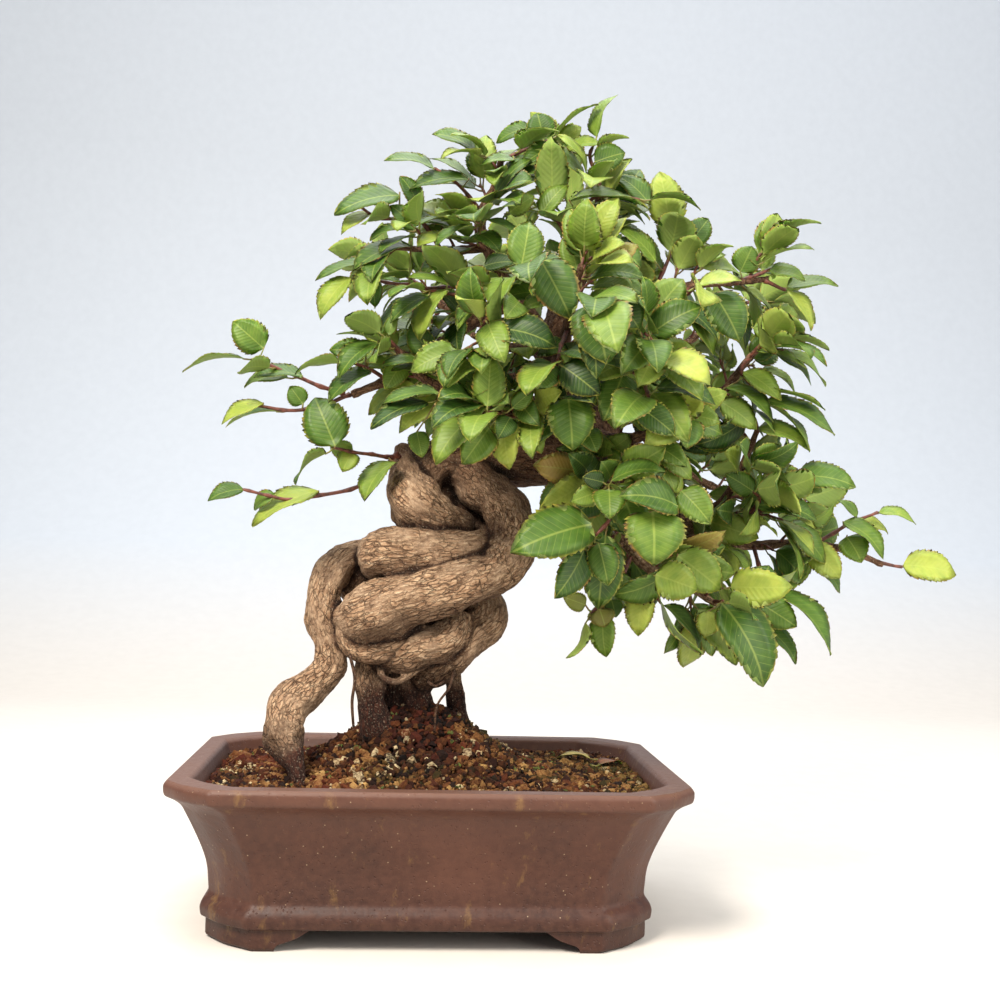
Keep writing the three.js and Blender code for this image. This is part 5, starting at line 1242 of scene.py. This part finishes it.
# The pot: one profile of (inset, height) carried round a plan with stepped corners, then cut for its
# feet and holes. Cuts are how far from a bend its rounding starts.
potShape = {
    "width": 260, "depth": 196, "cornerLeg": 25, "cornerStep": 3, "cornerBulge": 4, "cornerSlope": 4,
    "cornerCuts": [1.6, 1.3, 7.0, 1.3, 1.6], "planRound": 1.1,
    "underside": 12.4, "floorTop": 22, "footWall": 15, "footInset": 23, "longFoot": 33, "shortFoot": 36,
    "drainRadius": 9, "drainSpacing": 110, "drainSides": 48, "cutterReach": 260.0, "softened": 0.0005,
    "outer": [(21.3, 2), (19.7, 3.6), (19.7, 12.4), (17.4, 13.2), (16.8, 17.4), (17.8, 20.6),
              (20.6, 24), (19.5, 38), (16.4, 48), (11.6, 60), (7.6, 69), (4.4, 72), (0.5, 74.5), (0, 77),
              (0, 80), (1.6, 82)],
    "outerCuts": [0, 0.8, 0.5, 0.8, 1.6, 1.6, 2.4, 5, 6, 6, 4, 1.6, 1.4, 1.4, 1.4, 1.4],
    "inner": [(10, 82), (12, 80.5), (19, 60), (28, 31), (30.5, 22)], "innerCuts": [0, 1.5, 8, 8, 0],
    "footCurve": [(0, -1), (0, 3), (1.5, 5.4), (5.5, 6.6), (11, 8.6), (17, 12.4)], "footCut": 2.0,
}


# Rounds each bend of a path: a parabola from a cut before the bend to a cut after it.
def roundBends(points, cut, closed=False, steps=4):
    p = np.asarray(points, float)
    before, after = np.roll(p, 1, 0), np.roll(p, -1, 0)
    reach = np.minimum(lengthOf(before - p), lengthOf(after - p))[:, None] * 0.45
    reach = np.minimum(reach, np.broadcast_to(np.reshape(cut, (-1, 1)), (len(p), 1)))
    low, high = p + unit(before - p) * reach, p + unit(after - p) * reach
    t = np.linspace(0, 1, steps + 1)[None, :, None]
    curve = low[:, None] * (1 - t) ** 2 + 2 * p[:, None] * t * (1 - t) + high[:, None] * t ** 2
    if closed:
        return curve.reshape(-1, p.shape[1])
    return np.vstack([p[:1], curve[1:-1].reshape(-1, p.shape[1]), p[-1:]])


# The pot's plan at a distance in from the rim's face: one corner mirrored to four.
def potCorners(inset):
    s = potShape
    a, b = s["width"] / 2 - inset, s["depth"] / 2 - inset
    leg, step, slope = s["cornerLeg"], s["cornerStep"], s["cornerSlope"]
    panel = leg / 2 - s["cornerBulge"] / 2
    corner = np.array([(a - leg, b), (a - leg + slope, b - step), (a - panel, b - panel),
                       (a - step, b - leg + slope), (a, b - leg)])
    back = corner[::-1]
    return np.vstack([back, corner * [-1, 1], back * [-1, -1], corner * [1, -1]])


# That plan rounded at its bends.
def potPlan(inset):
    return roundBends(potCorners(inset), np.tile(potShape["cornerCuts"], 4) * potShape["planRound"], True)


# An outline as a ring at some height.
def ringAt(outline, z):
    return np.hstack([outline, np.full((len(outline), 1), z)])


# A closed solid over rings that all have the same number of points.
def ringSolid(rings):
    rings = np.asarray(rings)
    return closeRings(rings, rings[0].mean(0), rings[-1].mean(0))


# A solid as an object that isn't moved to the row's frame yet, to cut it or to cut with it.
def rawObject(name, tube):
    points, quads, ends = tube
    mesh = bpy.data.meshes.new(name)
    mesh.from_pydata((points * 0.001).tolist(), [], quads.tolist() + ends.tolist())
    return show(name, mesh)


# A straight bar with some outline, along Y, or along X if turned.
def bar(outline, alongX):
    p = np.asarray(outline, float)
    reach = potShape["cutterReach"]
    rings = [np.stack([p[:, 0], np.full(len(p), y), p[:, 1]], 1) for y in (reach, -reach)]
    rings = [r[:, [1, 0, 2]] * [-1, 1, 1] if alongX else r for r in rings]
    return ringSolid(rings)


# The profile's solid, less the space between the feet on each side, under the floor and in each drain.
def makePot():
    s = potShape
    profile = np.vstack([roundBends(s["outer"], s["outerCuts"]), roundBends(s["inner"], s["innerCuts"])])
    body = rawObject("body", ringSolid([ringAt(potPlan(inset), z) for inset, z in profile]))
    hollow = potPlan(s["footInset"] + s["footWall"])
    cutters = [ringSolid([ringAt(hollow, z) for z in (-1.0, float(s["underside"]))])]
    for whole, foot, alongX in ((s["width"], s["longFoot"], False), (s["depth"], s["shortFoot"], True)):
        curve = [(whole / 2 - s["footInset"] - foot - inward, z) for inward, z in s["footCurve"]]
        side = roundBends(curve, s["footCut"])
        cutters.append(bar(np.vstack([side, (side * [-1, 1])[::-1]]), alongX))
    angle = -np.linspace(0, 2 * math.pi, s["drainSides"], endpoint=False)
    for x in (-s["drainSpacing"] / 2, s["drainSpacing"] / 2):
        ring = np.stack([x + s["drainRadius"] * np.cos(angle), s["drainRadius"] * np.sin(angle)], 1)
        cutters.append(ringSolid([ringAt(ring, z) for z in (0.0, 2.0 * s["floorTop"])]))
    for i, tube in enumerate(cutters):
        cutter = rawObject("cutter%d" % i, tube)
        bpy.context.view_layer.update()
        cut = body.modifiers.new("cut", "BOOLEAN")
        cut.operation, cut.solver, cut.object = "DIFFERENCE", "EXACT", cutter
        made = bpy.data.meshes.new_from_object(body.evaluated_get(bpy.context.evaluated_depsgraph_get()))
        body.modifiers.clear()
        body.data = made
        bpy.data.objects.remove(cutter)
    return body


pot = makePot()
potMesh = pot.data
place = np.empty(len(potMesh.vertices) * 3, np.float32)
potMesh.vertices.foreach_get("co", place)
potMesh.vertices.foreach_set("co", (place.reshape(-1, 3) + potMiddle).astype(np.float32).ravel())
pot.name = "fired_pot"
potMesh.materials.clear()
potMesh.materials.append(stoneware)
bevel = pot.modifiers.new("softened edges", "BEVEL")
bevel.width, bevel.segments = potShape["softened"], 2
bevel.limit_method, bevel.angle_limit = "ANGLE", math.radians(40)
pot.modifiers.new("face weights", "WEIGHTED_NORMAL")
potMesh.polygons.foreach_set("use_smooth", np.full(len(potMesh.polygons), True))
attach(pot, "root")
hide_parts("pot")
for name in ("drain_mesh_left", "drain_mesh_right"):
    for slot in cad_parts[name].material_slots:
        slot.material = screenPlastic
report("pot with %d faces" % len(potMesh.polygons))

# The soil: a mound round the trunk under a layer of loose grains.
soilShape = {
    "edge": 74, "mound": 38, "centre": (-8, 2), "reach": (47, 44), "relief": 0.8, "lump": 5, "rings": 46,
    "gap": 0.3, "under": 1.6, "spacing": 3.6, "radius": (1.3, 3.2), "bigRadius": 5.2, "bigShare": 0.05,
    "sunk": 0.5, "roughness": 0.4, "stretch": (0.72, 1.2), "jitter": 0.38, "fromWall": 2.4,
    "upperSpacing": 1.25, "upperLift": 1.5, "crumbSpacing": 3.5, "crumbRadius": (0.5, 1.15), "crumbLift": 1.7,
    "crustCount": 60, "crumbs": 20, "heapSpread": 1.7, "heapLift": 1.4,
    "mossCount": 110, "mossCrumbs": 7, "mossSpread": 0.9, "mossRadius": (0.4, 0.9), "mossLift": 1.5,
}


# The edge's height and a mound that falls off as e^-(r^2).
def soilHeight(x, y):
    s = soilShape
    dx, dy = (x - s["centre"][0]) / s["reach"][0], (y - s["centre"][1]) / s["reach"][1]
    return s["edge"] + s["mound"] * np.exp(-dx * dx - dy * dy)


# Grains: icosahedra with uneven corners, each turned and stretched its own way.
def grainCloud(name, places, radii, tints, material, seed, nodes):
    g = (1 + 5 ** 0.5) / 2
    corners = unit([(-1, g, 0), (1, g, 0), (-1, -g, 0), (1, -g, 0), (0, -1, g), (0, 1, g), (0, -1, -g),
                    (0, 1, -g), (g, 0, -1), (g, 0, 1), (-g, 0, -1), (-g, 0, 1)])
    faces = np.array([(0, 11, 5), (0, 5, 1), (0, 1, 7), (0, 7, 10), (0, 10, 11), (1, 5, 9), (5, 11, 4),
                      (11, 10, 2), (10, 7, 6), (7, 1, 8), (3, 9, 4), (3, 4, 2), (3, 2, 6), (3, 6, 8),
                      (3, 8, 9), (4, 9, 5), (2, 4, 11), (6, 2, 10), (8, 6, 7), (9, 8, 1)])
    luck = np.random.default_rng(seed)
    n, size = len(places), len(corners)
    frames = np.linalg.qr(luck.normal(size=(n, 3, 3)))[0]
    frames[:, 0] *= np.sign(np.linalg.det(frames))[:, None]
    stretch = luck.uniform(*soilShape["stretch"], (n, 1, 3))
    uneven = 1 + soilShape["roughness"] * luck.uniform(-1, 1, (n, size, 1))
    points = places[:, None] + ((corners[None] * uneven * stretch) @ frames) * radii[:, None, None]
    buildMesh(name, points.reshape(-1, 3), [(spreadFaces(faces, n, size), 0)], [material], nodes,
              {"grainTint": np.repeat(tints, size, axis=0)}, smooth=False)


# Points spread evenly over the pot: a grid of triangles, each point moved by luck.
def scatter(spacing, seed):
    luck = np.random.default_rng(seed)
    x, y = np.meshgrid(np.arange(-125, 125, spacing), np.arange(-92, 92, spacing * 0.87))
    x = x + (np.arange(len(x)) % 2)[:, None] * spacing / 2
    jitter = soilShape["jitter"]
    return np.stack([x.ravel(), y.ravel()], 1) + luck.uniform(-jitter, jitter, (x.size, 2)) * spacing


# Whether points lie inside the pot's plan at some inset: an odd number of its edges is to their right.
def insidePlan(points, inset):
    a = potCorners(inset)
    b = np.roll(a, -1, 0)
    x, y = points[:, :1], points[:, 1:]
    crosses = (a[:, 1] > y) != (b[:, 1] > y)
    with np.errstate(divide="ignore", invalid="ignore"):
        at = a[:, 0] + (y - a[:, 1]) * (b[:, 0] - a[:, 0]) / (b[:, 1] - a[:, 1])
    return (crosses & (x < at)).sum(1) % 2 == 1


s = soilShape
wallInset = float(np.interp(s["edge"], [60, 81], [19, 12])) # of the inner wall where the soil meets it
walls = roundBends(potShape["inner"][1:], 4.0)[::-1]
walls = walls[walls[:, 1] < s["edge"] - 1]
lowest = potShape["floorTop"] + s["gap"]
rings = [ringAt(potPlan(inset + s["gap"]), max(z, lowest)) for inset, z in walls]
top = potPlan(wallInset + s["gap"])
for share in np.linspace(1, 0.02, s["rings"]):
    x, y = (top * share).T
    lump = s["relief"] * latticeNoise(np.stack([x, y, 0 * x], 1) / s["lump"], 5) * min(1, (1 - share) * 12)
    height = soilHeight(x, y) if share < 1 else s["edge"]
    rings.append(np.stack([x, y, height - s["under"] + lump], 1))
tube, sides, ends = ringSolid(rings)
buildMesh("packed_soil", tube, [(sides, 0), (ends, 0)], [darkSoil], ["soil"], {})


# One layer of loose grains over the soil: (places, radii). Each lies in the surface by its share sunk.
def grainLayer(spacing, radius, lift, seed, bigShare=0.0):
    flat = scatter(spacing, seed)
    flat = flat[insidePlan(flat, wallInset + soilShape["fromWall"])]
    luck = np.random.default_rng(seed + 10)
    radii = luck.uniform(*radius, len(flat))
    big = luck.random(len(flat)) < bigShare
    radii[big] = luck.uniform(radius[1], soilShape["bigRadius"], big.sum())
    height = soilHeight(*flat.T) - soilShape["sunk"] * radii + lift + luck.uniform(-0.5, 0.5, len(flat))
    return np.hstack([flat, height[:, None]]), radii


# Crumbs stuck together in low heaps, each heap round one of the places given.
def heaps(centres, crumbs, spread, radius, seed):
    luck = np.random.default_rng(seed)
    wide = np.repeat(luck.uniform(0.6, 1.25, len(centres)), crumbs)[:, None]
    away = luck.normal(0, spread, (len(centres) * crumbs, 3)) * [1, 1, 0.55] * wide
    return np.repeat(centres, crumbs, axis=0) + away, luck.uniform(*radius, len(away))


# Tints of grains: how light, how red (olive under 0.3), and how much pale crust. Round the trunk they
# are dark and damp; the crust lies in patches.
def grainTints(places, seed, crust):
    luck = np.random.default_rng(seed)
    damp = np.exp(-(np.hypot((places[:, 0] + 8) / 42, (places[:, 1] - 2) / 40)) ** 2)
    light = luck.uniform(0.1, 0.9, len(places)) - 0.34 * damp + 0.16 * latticeNoise(places / 20, 91)
    red = luck.random(len(places)) * 0.5 + 0.25 + 0.35 * latticeNoise(places / 26, 97)
    red = red - 0.002 * (places[:, 0] - 10)
    return np.stack([light, np.clip(red, 0, 1), crust], 1)


coarse = [grainLayer(s["spacing"], s["radius"], 0.0, 70, s["bigShare"]),
          grainLayer(s["spacing"] * s["upperSpacing"], s["radius"], s["upperLift"], 71, s["bigShare"])]
places, radii = np.vstack([p for p, _ in coarse]), np.concatenate([r for _, r in coarse])
luck = np.random.default_rng(90)
patchy = latticeNoise(places / 22, 94)
crusted = (luck.random(len(places)) < 0.03 + 0.1 * (patchy > 0.2)) * luck.uniform(0.35, 0.75, len(places))
grainCloud("akadama_grains", places, radii, grainTints(places, 95, crusted), clayGrain, 92, ["soil"])
crumbs, crumbRadii = grainLayer(s["crumbSpacing"], s["crumbRadius"], s["crumbLift"], 72)
chosen = luck.choice(np.flatnonzero(patchy > 0.05), s["crustCount"], replace=False)
crusts = places[chosen] + up * s["heapLift"]
heaped, heapRadii = heaps(crusts, s["crumbs"], s["heapSpread"], s["crumbRadius"], 98)
crusted = np.concatenate([(luck.random(len(crumbs)) < 0.06) * 0.6, luck.uniform(0.35, 0.8, len(heaped))])
crumbs, crumbRadii = np.vstack([crumbs, heaped]), np.concatenate([crumbRadii, heapRadii])
grainCloud("akadama_crumbs", crumbs, crumbRadii, grainTints(crumbs, 99, crusted), clayGrain, 96, [])
moss = places[luck.choice(len(places), s["mossCount"], replace=False)] + up * s["mossLift"]
moss, mossRadii = heaps(moss, s["mossCrumbs"], s["mossSpread"], s["mossRadius"], 93)
grainCloud("moss_specks", moss, mossRadii, luck.random((len(moss), 3)), mossGreen, 93, [])
report("soil with %d grains" % (len(places) + len(crumbs)))

# The two shed leaves on the soil.
fallenLeaves = {
    "fallen_leaf_green": {"at": (84, 44), "angle": 2.9, "length": 20, "lift": 3.2, "tint": [0.8, 0.4, 0.55]},
    "fallen_leaf_brown": {"at": (104, 30), "angle": 0.6, "length": 17, "lift": 2.6, "tint": [0.0, 0.4, 1.0]},
}
for name, shape in fallenLeaves.items():
    (x, y), length = shape["at"], shape["length"]
    along = np.array([math.cos(shape["angle"]), math.sin(shape["angle"]), 0])
    middle = np.array([x, y, soilHeight(x, y) + shape["lift"]])
    base, tip = middle - along * length / 2, middle + along * length / 2
    leaf = {"root": base - along * leafShape["stalkLength"], "base": base, "tip": tip, "facing": up,
            "width": leafShape["widthShare"] * length, "luck": 0.5, "tint": shape["tint"]}
    buildSpray("shed_" + name, [leaf], [], [name])

# Plain pale floor that curves up into a backdrop: a profile of (y, z) carried along X.
floorShape = {"from": -1400, "to": 900, "bend": 900, "top": 2600, "halfWidth": 2600.0, "steps": 24}
paperTones = {"fibres": 60.0, "rise": (0.0, 0.2), "warm": [(0.3, "#d3cdc5"), (0.7, "#d6d0c8")],
              "cool": [(0.3, "#cad0d7"), (0.7, "#cdd3da")]}


# Matt paper with faint fibres, warm on the floor and cool from a little above it.
def paperRecipe(add, f):
    place = add("TexCoord", output="Object")
    fibre = add("TexNoise", place, Scale=f["fibres"], Detail=2.0)
    rise = add("MapRange", add("SeparateXYZ", place, output=2), *f["rise"])
    warm = add("ValToRGB", fibre, stops=f["warm"])
    return {"Base Color": add("MixRGB", rise, warm, add("ValToRGB", fibre, stops=f["cool"]))}


back, bend, half = floorShape["to"], floorShape["bend"], floorShape["halfWidth"]
curve = [(back + bend * math.sin(a), bend - bend * math.cos(a))
         for a in np.linspace(0.05, math.pi / 2, floorShape["steps"])]
profile = [(floorShape["from"], 0), (back, 0)] + curve + [(back + bend, floorShape["top"])]
profile = np.array(profile) + [0, soleHeight]
n = len(profile)
sheet = np.vstack([np.hstack([np.full((n, 1), x), profile]) for x in (-half, half)])
strip = np.array([(j, n + j, n + j + 1, j + 1) for j in range(n - 1)])
mesh = bpy.data.meshes.new("floor")
mesh.from_pydata(toRow(sheet).tolist(), [], strip.tolist())
mesh.polygons.foreach_set("use_smooth", np.full(len(strip), True))
mesh.materials.append(makeMaterial("matt_pale_paper", paperRecipe, paperTones, Roughness=0.9))
floor = show("floor", mesh)

# Soft studio light: a large lamp on each side of the camera, one above, one on the backdrop, and a
# pale room.
lamps = {
    "keyLamp": {"at": (-520, -820, 1050), "size": 0.5, "watts": 30, "tone": "#fff6ea"},
    "fillLamp": {"at": (900, -700, 620), "size": 1.1, "watts": 14, "tone": "#fbf8f0"},
    "topLamp": {"at": (80, 250, 1300), "size": 1.2, "watts": 14, "tone": "#ffffff"},
    "backdropLamp": {"at": (500, 300, 1900), "size": 2.6, "watts": 17, "tone": "#f4f7ff",
                     "aim": (900, 1700, 700)},
}
crownBase = (20, 0, 200) # where lamps point unless they have an aim of their own
for name, lamp in lamps.items():
    light = bpy.data.lights.new(name, "AREA")
    light.shape, light.size, light.energy = "DISK", lamp["size"], lamp["watts"]
    light.color = colour(lamp["tone"])[:3]
    holder = show(name, light)
    holder.location = Vector(toRow(lamp["at"]))
    aim = Vector(toRow(lamp.get("aim", crownBase))) - holder.location
    holder.rotation_euler = aim.to_track_quat("-Z", "Y").to_euler()
world = bpy.data.worlds.new("room")
bpy.context.scene.world = world
world.use_nodes = True
room = world.node_tree.nodes["Background"].inputs
room["Color"].default_value = colour("#eef1f5")
room["Strength"].default_value = 0.55
bpy.context.scene.view_settings.view_transform = "Standard"

# The camera at the photograph's view: yaw and pitch, then a roll about the line of sight.
view = {"place": (-15.06, -705.35, 195.85), "yaw": -3.989, "pitch": 2.350, "roll": 1.582, "lens": 46.18}
yaw, pitch, roll = (math.radians(view[key]) for key in ("yaw", "pitch", "roll"))
sight = np.array([-math.sin(yaw) * math.cos(pitch), math.cos(yaw) * math.cos(pitch), math.sin(pitch)])
level = np.array([math.cos(yaw), math.sin(yaw), 0])
raised = np.cross(level, sight)
right = math.cos(roll) * level + math.sin(roll) * raised
over = -math.sin(roll) * level + math.cos(roll) * raised
lens = bpy.data.cameras.new("photographView")
lens.lens, lens.sensor_width, lens.clip_start, lens.clip_end = view["lens"], 36, 0.02, 20
camera = show("photographView", lens)
turned = np.column_stack([right, over, -sight, toRow(view["place"])])
camera.matrix_world = Matrix(np.vstack([turned, [0, 0, 0, 1]]).tolist())
bpy.context.scene.camera = camera
report("floor, lamps and camera")
